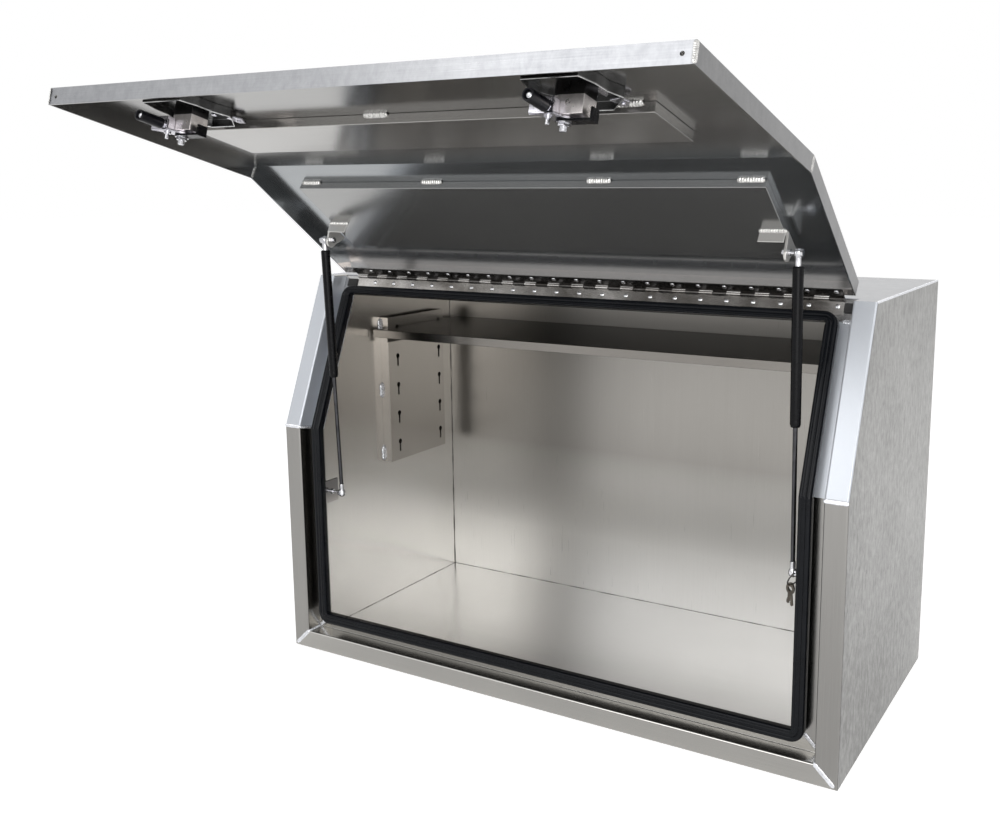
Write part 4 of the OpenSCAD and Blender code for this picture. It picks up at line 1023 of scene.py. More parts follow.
@dataclass(frozen=True)
class WeldBeads:
    """The scaled weld beads on the body and on the door.

    Stitches along an edge are given by where their middle is: as a share of the shelf
    bracket's height, or of a tray's half width. The trays' stitches lie at a height,
    which on the leaning part is the distance up the slope.
    """

    bracket_low: float = 342.0
    bracket_tall: float = 345.0
    bracket_front: float = 321.0
    bracket_shares: Place = (0.94, 0.5, 0.06)
    bracket_stitch: float = 38.0
    tray_stitch: float = 46.0
    tray_depth: float = 8.4
    low_tray: tuple[float, float] = (424.0, 225.2)
    low_shares: Place = (-0.905, -0.094, 0.905)
    high_tray: tuple[float, float] = (472.0, -281.4)
    high_shares: tuple[float, ...] = (-0.945, -0.337, 0.386, 0.945)
    strut_foot: Place = (429.5, 21.4, -166.1)

    def front_beads(self) -> list[Shape]:
        """Beads on the right of the front: knee, sill mitre and their ends inside the recess."""
        edge, sill, knee = BODY.mouth_half_w, BODY.sill_h, BODY.knee
        across = BODY.half_w - edge
        knee_out = (0, -math.cos(BODY.lean / 2), math.sin(BODY.lean / 2))
        knee_in = (0, 1, -math.tan(BODY.lean / 2))
        mitre = math.hypot(across, sill) - 6
        beads = (
            Bead(across + 1, 8.0, 1.7, 1.0, (edge - 0.5, 0.3, knee), (1, 0, 0), knee_out),
            Bead(mitre, 8.5, 1.7, 2.0, (edge - 1, 0.2, sill + 1), (across, 0, -sill), (0, -1, 0)),
            Bead(BODY.recess - 1, 8.0, 2.6, 3.0, (edge - 0.4, 0.5, sill + 0.4), (0, 1, 0), (-1, 0, 1)),
            Bead(42, 8.0, 2.0, 3.4, (edge - 1, BODY.recess, sill + 1), (-1, 0, 1), (0, -1, 0)),
            Bead(BODY.recess - 2, 7.0, 2.2, 3.8, (edge - 0.3, 0.6, knee - 0.4), knee_in, (-1, 0, 0)),
        )
        return [bead.shape() for bead in beads]

    def top_beads(self) -> list[Shape]:
        """Beads at the right end of the head flange and along the top's side edge."""
        flange = Bead(25, 8.5, 2.4, 4.0, (535.5, BODY.recess, -BODY.head_drop), (1, 0, 0), (0, -1, 0))
        place = (BODY.half_w - 1.5, BODY.setback + 2, BODY.height - 1.5)
        edge = Bead(BODY.depth - BODY.setback - 4, 4.4, 2.6, 4.6, place, (0, 1, 0), (1, 0, 1))
        return [flange.shape().carried(slope_carried), edge.shape()]

    def bracket_beads(self) -> list[Shape]:
        """The stitches in front of the right shelf bracket."""
        wall, half = BODY.half_w - BODY.sheet, self.bracket_stitch / 2
        shapes = []
        for number, share in enumerate(self.bracket_shares):
            place = (wall, self.bracket_front, self.bracket_low + share * self.bracket_tall - half)
            stitch = Bead(self.bracket_stitch, 19.0, 5.4, 5.0 + number, place, (0, 0, 1), (-1, 0, 0), 4.2)
            shapes.append(stitch.shape())
        return shapes

    def body_beads(self) -> Shape:
        """All the beads on the body."""
        shapes = []
        right = self.front_beads() + self.top_beads() + self.bracket_beads()
        for side in Side:
            shapes += [shape.mirrored(side) for shape in right]
        return Shape.joined(shapes)

    def tray_beads(self, tray: tuple[float, float], shares: Sequence[float], phase: float) -> list[Shape]:
        """The stitches along one tray, from its half width and height and their shares of it."""
        half_w, height = tray
        shapes = []
        for share in shares:
            place = (share * half_w - self.tray_stitch / 2, self.tray_depth, height)
            stitch = Bead(self.tray_stitch, 11.0, 3.2, phase + share, place, (1, 0, 0), (0, 1, -1), 4.4)
            shapes.append(stitch.shape())
        return shapes

    def door_beads(self) -> Shape:
        """Beads along the trays, at the upper strut brackets, the fold and the tip."""
        lower = self.tray_beads(self.low_tray, self.low_shares, 9.0)
        upper = self.tray_beads(self.high_tray, self.high_shares, 12.0)
        foot = Bead(48, 10.0, 4.0, 16.0, self.strut_foot, (1, 0, 0), (0, 1, -1), 4.4)
        fold_line = (0, math.cos(BODY.lean / 2), -math.sin(BODY.lean / 2))
        outer_fold = (DOOR.half_w - 0.2, DOOR.skin, BODY.knee - 0.7)
        inner_fold = (DOOR.half_w - DOOR.skin_wall, DOOR.skin_inner, BODY.knee - 1.2)
        tip = (DOOR.half_w - 0.5, DOOR.skin, DOOR.bottom + 0.5)
        beads = (
            Bead(27, 8.0, 1.5, 17.0, outer_fold, fold_line, (1, 0, 0)),
            Bead(24, 7.0, 1.5, 17.5, inner_fold, fold_line, (-1, 0, 0)),
            Bead(DOOR.return_end - 4, 7.0, 1.4, 18.0, tip, (0, 1, 0), (1, 0, -1)),
        )
        for side in Side:
            upper.append(foot.shape().mirrored(side))
            lower += [bead.shape().mirrored(side) for bead in beads]
        return Shape.joined(lower + [shape.carried(slope_carried) for shape in upper])

    def build(self) -> None:
        """Makes both sets of beads."""
        Dress("body", "weld", Finish.WELD, ("body_welds",), sharp=80).make(
            "scaled_body_welds", self.body_beads().carried(BODY.placed)
        )
        Dress("door", "weld", Finish.DOOR_WELD, ("door_welds",), sharp=80).make(
            "scaled_door_welds", self.door_beads().carried(DOOR.opened)
        )


@dataclass(frozen=True)
class InnerSeams:
    """The thin dark seams where the panels meet inside the body, painted shadow along its inner corners.
    """

    half: float = 1.3
    upright_wider: float = 1.7
    rings: int = 60
    past_recess: float = 4.0

    def seam(self, start: Place, along: Place, out: Place, wider: float = 1.0) -> Shape:
        """A low three-sided strip from a start point.

        Its half width is a level plus two slow sines of the distance along it.
        """
        steps = np.linspace(0, float(np.linalg.norm(along)), self.rings)
        wide = wider * self.half * (0.75 + 0.25 * np.sin(steps * 0.071) + 0.2 * np.sin(steps * 0.23))
        flat = np.zeros(self.rings)
        rows = np.stack([
            np.column_stack([steps, -wide, flat]), np.column_stack([steps, flat, 0.9 * wide]),
            np.column_stack([steps, wide, flat]),
        ], axis=1)
        return Shape.swept(rows).carried(framed(start, along, out))

    def build(self) -> None:
        """Makes the seams along the back panel, its corners and the floor's sides."""
        wall, back, floor = BODY.half_w - BODY.sheet, BODY.depth - BODY.sheet, BODY.sheet
        front = BODY.recess + self.past_recess
        tall = BODY.height - 2 * BODY.sheet
        seams = [self.seam((-wall, back, floor), (2 * wall, 0, 0), (0, -1, 1))]
        upright = self.seam((wall, back, floor), (0, 0, tall), (-1, -1, 0), self.upright_wider)
        low = self.seam((wall, front, floor), (0, back - front, 0), (-1, 0, 1))
        for side in Side:
            seams += [shape.mirrored(side) for shape in (upright, low)]
        Dress("body", "weld", Finish.SEAM, sharp=20).make(
            "inner_seams", Shape.joined(seams).carried(BODY.placed)
        )


@dataclass(frozen=True)
class HingeRivets:
    """The domed rivets through both leaves of the hinge.

    A row lies at a depth behind the slope and a distance up it, and its domes face
    forward on the body and backward on the shut door.
    """

    first: float = -475.0
    pitch: float = 50.0
    count: int = 21
    head_r: float = 4.2
    head_rise: float = 1.35
    head_rim: float = 0.25
    shank_r: float = 2.4
    grip: float = 4.0
    body_depth: float = 36.5
    door_depth: float = 32.5
    door_rise: float = -6.33

    def rivet(self) -> Shape:
        """One rivet along Z: a low dome below zero, a shank and a flat tail."""
        angle = np.linspace(0, math.pi / 2, 7)
        dome = list(zip(self.head_r * np.sin(angle), -self.head_rim - self.head_rise * np.cos(angle)))
        shank, grip = self.shank_r, self.grip
        tail = [
            (self.head_r, 0.0), (shank, 0.02), (shank, grip), (shank + 1.0, grip + 0.05),
            (shank + 0.9, grip + 1.1), (shank, grip + 1.6), (0.0, grip + 1.7),
        ]
        return Shape.turned(dome + tail, 20)

    def row(self, depth: float, rise: float, facing: float) -> Shape:
        """All the rivets of one leaf, in the front's frame."""
        rivet = self.rivet()
        single = Shape(rivet.points * np.array([1.0, 1.0, facing]), rivet.faces).axes_as(X, Z, Y)
        places = self.first + self.pitch * np.arange(self.count)
        return Shape.joined([single.moved(x, depth, rise).carried(slope_carried) for x in places])

    def build(self) -> None:
        """Makes the rivets of both leaves."""
        Dress("body", "rivet", Finish.RIVET, ("hinge_body_rivets",)).make(
            "domed_body_rivets", self.row(self.body_depth, 0.0, 1.0).carried(BODY.placed)
        )
        Dress("door", "rivet", Finish.RIVET, ("hinge_door_rivets",)).make(
            "domed_door_rivets", self.row(self.door_depth, self.door_rise, -1.0).carried(DOOR.opened)
        )


@dataclass(frozen=True)
class GasStrut:
    """One gas strut: a painted tube with a closed-in lower end, its rod, and forged ball ends.

    Everything is drawn along the strut's own axis, from the lower ball's centre.
    """

    side: Side
    x: float = 496.0
    low_y: float = 53.0
    low_z: float = 344.3
    length: float = 538.909
    lean: float = 2.430843
    socket: float = 20.0
    tube_r: float = 9.0
    tube_len: float = 265.0
    rod_r: float = 4.0
    stub_len: float = 1.0
    gland_len: float = 20.0
    piston_r: float = 7.3
    piston_len: float = 8.0
    clip_r: float = 7.5
    clip_wire_r: float = 0.55
    clip_out: float = 2.6

    def stand(self, points: np.ndarray) -> np.ndarray:
        """Points along the strut's axis where the strut stands in the model."""
        turn = math.radians(self.lean)
        y, z = points[:, Y], points[:, Z]
        placed = np.column_stack([
            (points[:, X] + self.x) * self.side.value,
            self.low_y + y * math.cos(turn) - z * math.sin(turn),
            self.low_z + y * math.sin(turn) + z * math.cos(turn),
        ])
        return BODY.placed(placed)

    def tube(self) -> Shape:
        """The tube: crimped round its gland below, domed round its stub above."""
        top = self.length - self.socket - self.stub_len
        low = top - self.tube_len
        rod, tube = self.rod_r + 0.05, self.tube_r
        return Shape.turned([
            (rod, low + 10), (rod, low), (6.6, low), (7.4, low + 0.4), (7.9, low + 1.4), (7.9, low + 2.6),
            (8.5, low + 3.4), (8.9, low + 4.6), (tube, low + 6), (tube, low + 11.4), (8.72, low + 12.0),
            (8.6, low + 12.6), (8.72, low + 13.2), (tube, low + 13.8), (tube, top - 3.4), (8.8, top - 2.0),
            (8.1, top - 0.9), (7.0, top - 0.25), (6.0, top), (0.0, top), (0.0, top - 3),
            (7.4, top - 3.2), (7.4, low + 14), (7.4, low + 10.4),
        ], 40)

    def rod(self) -> Shape:
        """The rod with its piston inside the tube."""
        low, rod, piston = self.socket, self.rod_r, self.piston_r
        inside = self.length - self.socket - self.stub_len - self.tube_len + self.gland_len
        end = inside + self.piston_len
        return Shape.turned([
            (0.0, low - 8), (3.0, low - 8), (3.0, low - 0.05), (3.5, low), (rod, low + 0.6),
            (rod, inside), (piston, inside + 0.05), (piston, end), (0.0, end),
        ], 28)

    def ball_end(self, upper: bool) -> Shape:
        """A forged ball end: a round head with a collar at its side, a waist and a plain neck."""
        head = Shape.turned([
            (0.0, -7.6), (3.6, -7.3), (6.2, -5.2), (7.35, -2.4), (7.5, 0.0), (7.35, 2.3), (6.3, 4.9),
            (5.3, 6.6), (4.9, 7.8), (4.9, 8.6), (5.0, 8.9), (5.0, 19.2), (4.6, 20.0), (0.0, 20.0),
        ], 36)
        collar = Shape.turned([
            (5.2, -2.2), (6.4, -2.2), (6.5, -1.7), (6.5, 1.7), (6.4, 2.2), (5.2, 2.2),
        ], 30)
        both = Shape.joined([head, collar.axes_as(Z, Y, X).moved(6.0, 0.0, 0.0)])
        if not upper:
            return both
        top = np.array([0.0, 0.0, self.length])
        return Shape(top - both.points * np.array([-1.0, 1.0, 1.0]), both.faces)

    def clip(self, height: float, toward: float) -> Shape:
        """The wire clip that locks a ball end: an arc of wire round its head."""
        angle = np.linspace(-2.5, 2.5, 40)
        wide, tall = self.clip_r + 0.1, self.clip_r - 0.1
        out = np.full(len(angle), toward * self.clip_out)
        spine = np.column_stack([out, wide * np.sin(angle), -tall * np.cos(angle)])
        return wire(spine, self.clip_wire_r, 8).moved(0.0, 0.0, height)

    def stub(self) -> Shape:
        """The bright stub between the tube and the upper ball end."""
        top = self.length - self.socket
        return Shape.turned([(0.0, top - 1.2), (5.0, top - 1.2), (5.0, top + 0.2), (0.0, top + 0.2)], 28)

    def build(self) -> None:
        """Makes the strut's tube, rod and ball ends."""
        word = self.side.word
        made = (
            ("tube", "tube", "black_paint", Finish.BLACK_PAINT, self.tube()),
            ("rod", "rod", "polished_steel", Finish.ROD, self.rod()),
            ("lower_socket", "rod", "bright_zinc", Finish.BRIGHT_ZINC,
             Shape.joined([self.ball_end(False), self.clip(0.0, 1.0)])),
            ("upper_socket", "tube", "bright_zinc", Finish.BRIGHT_ZINC,
             Shape.joined([self.ball_end(True), self.stub(), self.clip(self.length, -1.0)])),
        )
        for part, body, slot, finish, shape in made:
            node = f"{word}_strut_{part}"
            Dress(f"{word}_{body}", slot, finish, (node,), sharp=42).make(
                f"formed_{node}", shape.carried(self.stand)
            )


def wire(spine: np.ndarray, radius: float, steps: int = 10, closed: bool = False) -> Shape:
    """A round wire along a line of points, whose rings keep their twist to a minimum.

    The ring at each point lies square to the line there: one of its axes is a fixed
    direction made square to the line, and the other is square to both.

    Args:
        spine: The wire's middle line, a point in each row.
        radius: Its radius.
        steps: Points round each ring.
        closed: Whether the line closes on itself.

    Returns:
        The closed shape.
    """
    if closed:
        tangent = np.roll(spine, -1, axis=0) - np.roll(spine, 1, axis=0)
    else:
        tangent = np.gradient(spine, axis=0)
    tangent /= np.linalg.norm(tangent, axis=1)[:, None]
    normal = np.linalg.svd(spine - spine.mean(axis=0))[2][-1]
    first = normal - tangent * (tangent @ normal)[:, None]
    first /= np.linalg.norm(first, axis=1)[:, None]
    second = np.cross(tangent, first)
    angle = np.linspace(0, 2 * math.pi, steps, endpoint=False)
    ring = first[:, None] * np.cos(angle)[None, :, None] + second[:, None] * np.sin(angle)[None, :, None]
    return Shape.swept(spine[:, None] + radius * ring, closed)


@dataclass(frozen=True)
class RollerLock:
    """The parts of one lock that the solids have only in outline.

    Drawn about the spindle for the shut door: X across, Y the depth and Z up. The cam's
    ear is given by its sides along X, its faces along Z and the depths of its two ends.
    """

    side: Side
    roller_place: Place = (-9.0, 50.0, 0.0)
    bolt_r: float = 4.0
    barrel_r: float = 7.0
    spindle_r: float = 5.0
    arm_r: float = 14.0
    arm_near: float = 55.5
    arm_far: float = 58.5
    ear_sides: tuple[float, float] = (-34.0, 1.0)
    ear_faces: tuple[float, float] = (-32.0, -29.0)
    ear_tip: float = 37.0
    ear_corner: float = 5.0
    slot_x: float = -27.0
    slot_half: float = 2.0
    slot_near: float = 43.0
    slot_far: float = 54.0
    flange_end: float = -17.0
    flange_faces: tuple[float, float] = (-2.0, 1.0)
    pin_place: Place = (-14.0, 0.0, -17.0)

    def put(self, shape: Shape) -> Shape:
        """The shape where this lock is on the open door."""
        return shape.carried(lambda points: DOOR.at_lock(self.side, points))

    def roller(self) -> Shape:
        """The black roller: round edges, a sunk outer end and a fine groove near each end."""
        near, far, radius = -35.0, -78.0, 8.5
        return Shape.turned([
            (4.07, near), (6.9, near), (8.0, near - 0.5), (radius, near - 1.6), (radius, near - 3.4),
            (8.25, near - 3.7), (8.25, near - 4.3), (radius, near - 4.6), (radius, far + 4.6),
            (8.25, far + 4.3), (8.25, far + 3.7), (radius, far + 3.4), (radius, far + 1.4),
            (8.1, far + 0.4), (7.3, far), (6.4, far + 0.3), (6.2, far + 1.0), (6.2, far + 6.0),
            (4.07, far + 6.0),
        ], 40)

    def roller_bolt(self) -> Shape:
        """The roller's bolt: a domed head, threads, and a nut and washer on each side of the tab."""
        head = Shape.turned([
            (0.0, -75.9), (2.2, -75.8), (4.2, -75.1), (5.3, -74.0), (5.6, -73.1), (5.6, -72.3),
            (0.0, -72.3),
        ], 28)
        turns = np.arange(-28.8, -21.6, 0.25)
        thread = [(self.bolt_r - 0.35 * abs(math.sin(math.pi * z / 1.25)), z) for z in turns]
        shank = Shape.turned([
            (0.0, -72.4), (self.bolt_r, -72.4), *thread, (3.4, -21.4), (2.8, -21.0), (0.0, -21.0),
        ], 28)
        return Shape.joined([head, shank, nut(6.4, 5.0, -29.0), nut(6.4, 2.7, -34.7, washer=0.0)])

    def spindle_end(self) -> Shape:
        """The spindle: a plain barrel, then a threaded end with a washer and a nut."""
        turns = np.arange(62.0, 73.2, 0.25)
        thread = [(self.spindle_r - 0.4 * abs(math.sin(math.pi * z / 1.5)), z) for z in turns]
        shank = Shape.turned([
            (0.0, 1.1), (self.barrel_r, 1.1), (self.barrel_r, 55.3), (self.spindle_r, 55.35),
            (self.spindle_r, 61.9), *thread, (4.3, 73.3), (3.6, 73.5), (0.0, 73.5),
        ], 32)
        return Shape.joined([shank, nut(8.5, 5.0, 61.6)]).axes_as(X, Z, Y)

    def cavity_parts(self) -> Shape:
        """What is fixed in the dish: a pressed rib, a round nut and a drilled tab at its tip."""
        rib = Shape.slab([(24, 20), (48, 10), (34, 44), (27, 52)], 8.4, 12.0)
        boss = Shape.turned([(0.0, 0.0), (4.6, 0.0), (4.6, 4.4), (4.0, 5.2), (0.0, 5.2)], 24)
        tab = Shape.slab([(30, 56), (47, 50), (54, 66), (44, 84), (33, 82)], 12.5, 15.0)
        screw = Shape.turned([(0.0, 0.0), (3.2, 0.0), (3.0, 1.2), (1.6, 2.0), (0.0, 2.2)], 20)
        parts = [rib, boss.moved(14.0, 44.0, 8.2), tab, screw.moved(43.0, 70.0, 15.0)]
        return Shape.joined(parts).axes_as(X, Z, Y)

    def rounded(self, x: float, toward: float) -> list[tuple[float, float]]:
        """The round corner at the tip of a side of the ear, from the tip to the side."""
        turns = np.linspace(0, 0.5 * math.pi, 6)
        reach = toward * self.ear_corner
        return [
            (x - reach * (1 - math.sin(a)), self.ear_tip + self.ear_corner * (1 - math.cos(a)))
            for a in turns
        ]

    def cam(self) -> Shape:
        """The cam: a flat arm round the spindle, an ear that carries the roller, and its fold.

        The ear stands up from the arm beside the roller. It has a slot at its free side,
        and on the side towards the housing it turns back in a short flange.
        """
        near, far = self.arm_near, self.arm_far
        left, right = self.ear_sides
        under, over = self.ear_faces
        turns = np.linspace(1.7 * math.pi, 2.1 * math.pi, 7)
        disc = [(self.arm_r * math.cos(a), self.arm_r * math.sin(a)) for a in turns]
        arm = Shape.slab([
            (left, under), (right, under), (6, -14), *disc, (22, 0), (27, 4), (10, 13), (-12, 9),
            (-20, -14), (left, over),
        ], near, far)
        slot_left, slot_right = self.slot_x - self.slot_half, self.slot_x + self.slot_half
        ear = Shape.slab([
            (left, far), *self.rounded(left, -1.0)[::-1], (self.slot_x, self.ear_tip),
            (slot_right, self.slot_near), (slot_right, self.slot_far),
            (slot_left, self.slot_far), (slot_left, self.slot_near), (self.slot_x - 0.01, self.ear_tip),
            *self.rounded(right, 1.0), (right, far),
        ], under, over)
        end = self.flange_end
        flange = Shape.slab(
            [(under, far), (under, self.ear_tip), *self.rounded(end, 1.0), (end, far)], *self.flange_faces
        )
        return Shape.joined([arm.axes_as(X, Z, Y), ear, flange.axes_as(Z, Y, X)])

    def pin(self) -> Shape:
        """The bright shouldered pin through the arm, beside the housing."""
        pin = Shape.turned([
            (0.0, 42.0), (3.2, 42.0), (4.0, 42.8), (4.0, 56.0), (5.6, 56.2), (5.6, 60.5), (3.0, 60.7),
            (3.0, 68.0), (2.4, 68.6), (0.0, 68.6),
        ], 28)
        return pin.axes_as(X, Z, Y).moved(*self.pin_place)

    def build(self) -> None:
        """Makes the lock's pieces."""
        word = self.side.word
        lock = f"{word}_lock"
        made = (
            (f"rounded_{lock}_roller", self.roller().moved(*self.roller_place),
             Dress(f"{word}_roller", "roller_rubber", Finish.ROLLER, (f"{lock}_roller",), sharp=45)),
            (f"threaded_{word}_roller_bolt", self.roller_bolt().moved(*self.roller_place),
             Dress(lock, "bright_zinc", Finish.BRIGHT_ZINC, (f"{lock}_roller_bolt",), sharp=30)),
            (f"threaded_{word}_spindle", self.spindle_end(),
             Dress(lock, "bright_zinc", Finish.BRIGHT_ZINC, (f"{lock}_spindle",), sharp=30)),
            (f"bent_{lock}_cam", self.cam(),
             Dress(lock, "pale_zinc", Finish.PALE_ZINC, (f"{lock}_cam",), bevel=0.5)),
            (f"bright_{lock}_pin", self.pin(), Dress(lock, "bright_zinc", Finish.BRIGHT_ZINC, sharp=30)),
            (f"fixed_{word}_dish_parts", self.cavity_parts(),
             Dress("door", "pale_zinc", Finish.PALE_ZINC, bevel=0.6)),
        )
        for name, shape, dress in made:
            dress.make(name, self.put(shape))


def nut(radius: float, height: float, base: float, washer: float = 1.2) -> Shape:
    """A hexagon nut about Z with chamfered corners, on a thin washer.

    Args:
        radius: The radius over its corners.
        height: Its height.
        base: Where its lower face is.
        washer: The thickness of the washer in the lower part of that height, or 0.

    Returns:
        The shape of both.
    """
    angle = np.linspace(0, 2 * math.pi, NUT_POINTS, endpoint=False)
    flat = radius * math.cos(math.pi / 6) / np.cos((angle % (math.pi / 3)) - math.pi / 6)
    chamfer, washer_r = radius * 0.9, radius * 1.22
    rows = []
    for share in (0.0, 0.12, 0.88, 1.0):
        end = share in (0.0, 1.0)
        reach = np.minimum(flat, chamfer) if end else flat
        z = base + washer + (height - washer) * share
        rows.append(np.column_stack([
            reach * np.cos(angle), reach * np.sin(angle), np.full(NUT_POINTS, z)
        ]))
    shapes = [Shape.swept(np.stack(rows))]
    if washer:
        top = base + washer
        shapes.append(Shape.turned([(0.0, base), (washer_r, base), (washer_r, top), (0.0, top)], 32))
    return Shape.joined(shapes)


@dataclass(frozen=True)
class RingOfKeys:
    """The keys on their split ring, which hangs from the right strut's lower stud."""

    place: Place = (506.5, 53.0, 335.1)
    turn: float = 60.0
    ring_r: float = 13.2
    wire_r: float = 0.8
    tilt: float = 0.5
    key_half: float = 0.9
    ridge_half: float = 1.15
    bow_outer: tuple[float, float] = (10.0, 9.5)
    bow_slot: tuple[float, float] = (5.2, 4.2)
    bow_points: int = 24
    hang: float = 6.6

    def stand(self, points: np.ndarray) -> np.ndarray:
        """Points about the ring's centre, with X along its flat, in the model's frame.

        The ring leans: each point moves inward by a share of how far it is below the
        ring's top, down to the ring's lowest point.
        """
        turn = math.radians(self.turn)
        x, y, z = points.T
        sunk = self.tilt * (np.clip(z, -self.ring_r, self.ring_r) - self.ring_r)
        placed = np.column_stack([
            x * math.cos(turn) - y * math.sin(turn) + sunk, x * math.sin(turn) + y * math.cos(turn), z,
        ])
        return BODY.placed(placed + np.array(self.place))

    def ring(self) -> Shape:
        """Two turns of wire side by side, whose ends cross over at one place."""
        turns = np.linspace(0, 4 * math.pi, 150)
        shift = 0.82 * np.tanh((turns - 2 * math.pi) * 3.0)
        spine = np.column_stack([self.ring_r * np.sin(turns), shift, self.ring_r * np.cos(turns)])
        return wire(spine, self.wire_r, 10)

    def key(self, x: float, swing: float) -> Shape:
        """A flat key: an oval bow with a slot, a shoulder and a blade with cut teeth."""
        turns = np.linspace(0, 2 * math.pi, self.bow_points, endpoint=False)
        half = self.key_half
        edges = (
            (self.bow_outer, -half), (self.bow_outer, half),
            (self.bow_slot, half), (self.bow_slot, -half),
        )
        rows = [
            np.stack([wide * np.cos(turns), tall * np.sin(turns), np.full(self.bow_points, z)], axis=-1)
            for (wide, tall), z in edges
        ]
        bow = Shape.swept(np.stack(rows), closed=True)
        blade = Shape.slab([
            (-4, -9), (4, -9), (4, -13), (2.2, -14.2), (3.9, -16), (1.2, -18), (3.4, -20), (1.8, -22),
            (3.8, -24), (2.4, -26), (3.2, -28), (0, -30), (-3.4, -28), (-4, -13),
        ], -half, half)
        ridge_edge = [(-1.2, -10), (1.0, -10), (0.8, -27), (-1.2, -27)]
        ridge = Shape.slab(ridge_edge, -self.ridge_half, self.ridge_half)
        upright = Shape.joined([bow, blade, ridge]).axes_as(Z, X, Y)
        angle = math.radians(swing)
        y, z = upright.points[:, Y], upright.points[:, Z] - self.hang
        hung = np.column_stack([
            upright.points[:, X] + x,
            y * math.cos(angle) - z * math.sin(angle),
            y * math.sin(angle) + z * math.cos(angle) - self.ring_r,
        ])
        return Shape(hung, upright.faces)

    def build(self) -> None:
        """Makes the ring and the keys."""
        Dress("keys", "polished_steel", Finish.DARK_STEEL, ("key_ring",), sharp=60).make(
            "split_key_ring", self.ring().carried(self.stand)
        )
        keys = Shape.joined([self.key(-1.8, -10.0), self.key(1.8, 14.0)])
        Dress("keys", "key_metal", Finish.KEY, ("keys",), bevel=0.25).make(
            "cut_keys", keys.carried(self.stand)
        )


SOFTENED = {
    "top_panel": 0.8, "back_panel": 0.9, "header_rail": 0.6, "hinge_body_leaf": 0.25,
    "hinge_door_leaf": 0.25, "hinge_end_plugs": 1.2, "left_shelf_bracket": 1.3,
    "right_shelf_bracket": 1.3, "strut_lower_brackets": 0.9, "strut_lower_ball_studs": 0.4, "shelf": 0.8,
    "door_skin": 0.9, "door_lower_stiffener": 1.6, "door_upper_stiffener": 1.6,
    "strut_upper_brackets": 0.9, "strut_upper_nuts": 0.4, "lock_dishes": 0.8, "lock_housings": 1.2,
    "lock_face_plates": 0.6, "strut_ball_stud": 0.3, "lock_handle": 1.5, "lock_lever": 0.6,
    "lock_key_barrel": 0.3,
}


@dataclass(frozen=True)
class Camera:
    """The camera that the photograph was taken with, as its place, turns and lens."""

    place_mm: Place = (1047.1, -1973.5, 992.6)
    azimuth: float = 30.3
    elevation: float = 9.7
    roll: float = -0.3
    lens_mm: float = 39.52
    sensor_mm: float = 36.0
    shift: tuple[float, float] = (-0.0574, -0.039)

    def build(self) -> None:
        """Makes the camera and gives it to the scene."""
        turn, rise, roll = (math.radians(a) for a in (self.azimuth, self.elevation, self.roll))
        back = np.array([
            math.sin(turn) * math.cos(rise), -math.cos(turn) * math.cos(rise), math.sin(rise)
        ])
        right = np.cross([0.0, 0.0, 1.0], back)
        right /= np.linalg.norm(right)
        above = np.cross(back, right)
        rows = (
            math.cos(roll) * right + math.sin(roll) * above,
            -math.sin(roll) * right + math.cos(roll) * above,
            back,
        )
        data = bpy.data.cameras.new("camera")
        data.sensor_width = self.sensor_mm
        data.lens = self.lens_mm
        data.shift_x, data.shift_y = self.shift
        camera = bpy.data.objects.new("camera", data)
        bpy.context.scene.collection.objects.link(camera)
        matrix = Matrix([[*column] for column in zip(*rows)]).to_4x4()
        matrix.translation = Vector(self.place_mm) * MM
        camera.matrix_world = matrix
        bpy.context.scene.camera = camera


@dataclass(frozen=True)
class Softbox:
    """A square lamp of an even glow, aimed at a point."""

    name: str
    place: Place
    aim: Place
    size: float
    power: float

    def build(self) -> None:
        """Makes the lamp."""
        data = bpy.data.lights.new(self.name, "AREA")
        data.shape = "SQUARE"
        data.size = self.size
        data.energy = self.power
        lamp = bpy.data.objects.new(self.name, data)
        bpy.context.scene.collection.objects.link(lamp)
        lamp.location = self.place
        direction = Vector(self.aim) - Vector(self.place)
        lamp.rotation_mode = "QUATERNION"
        lamp.rotation_quaternion = direction.to_track_quat("-Z", "Y")


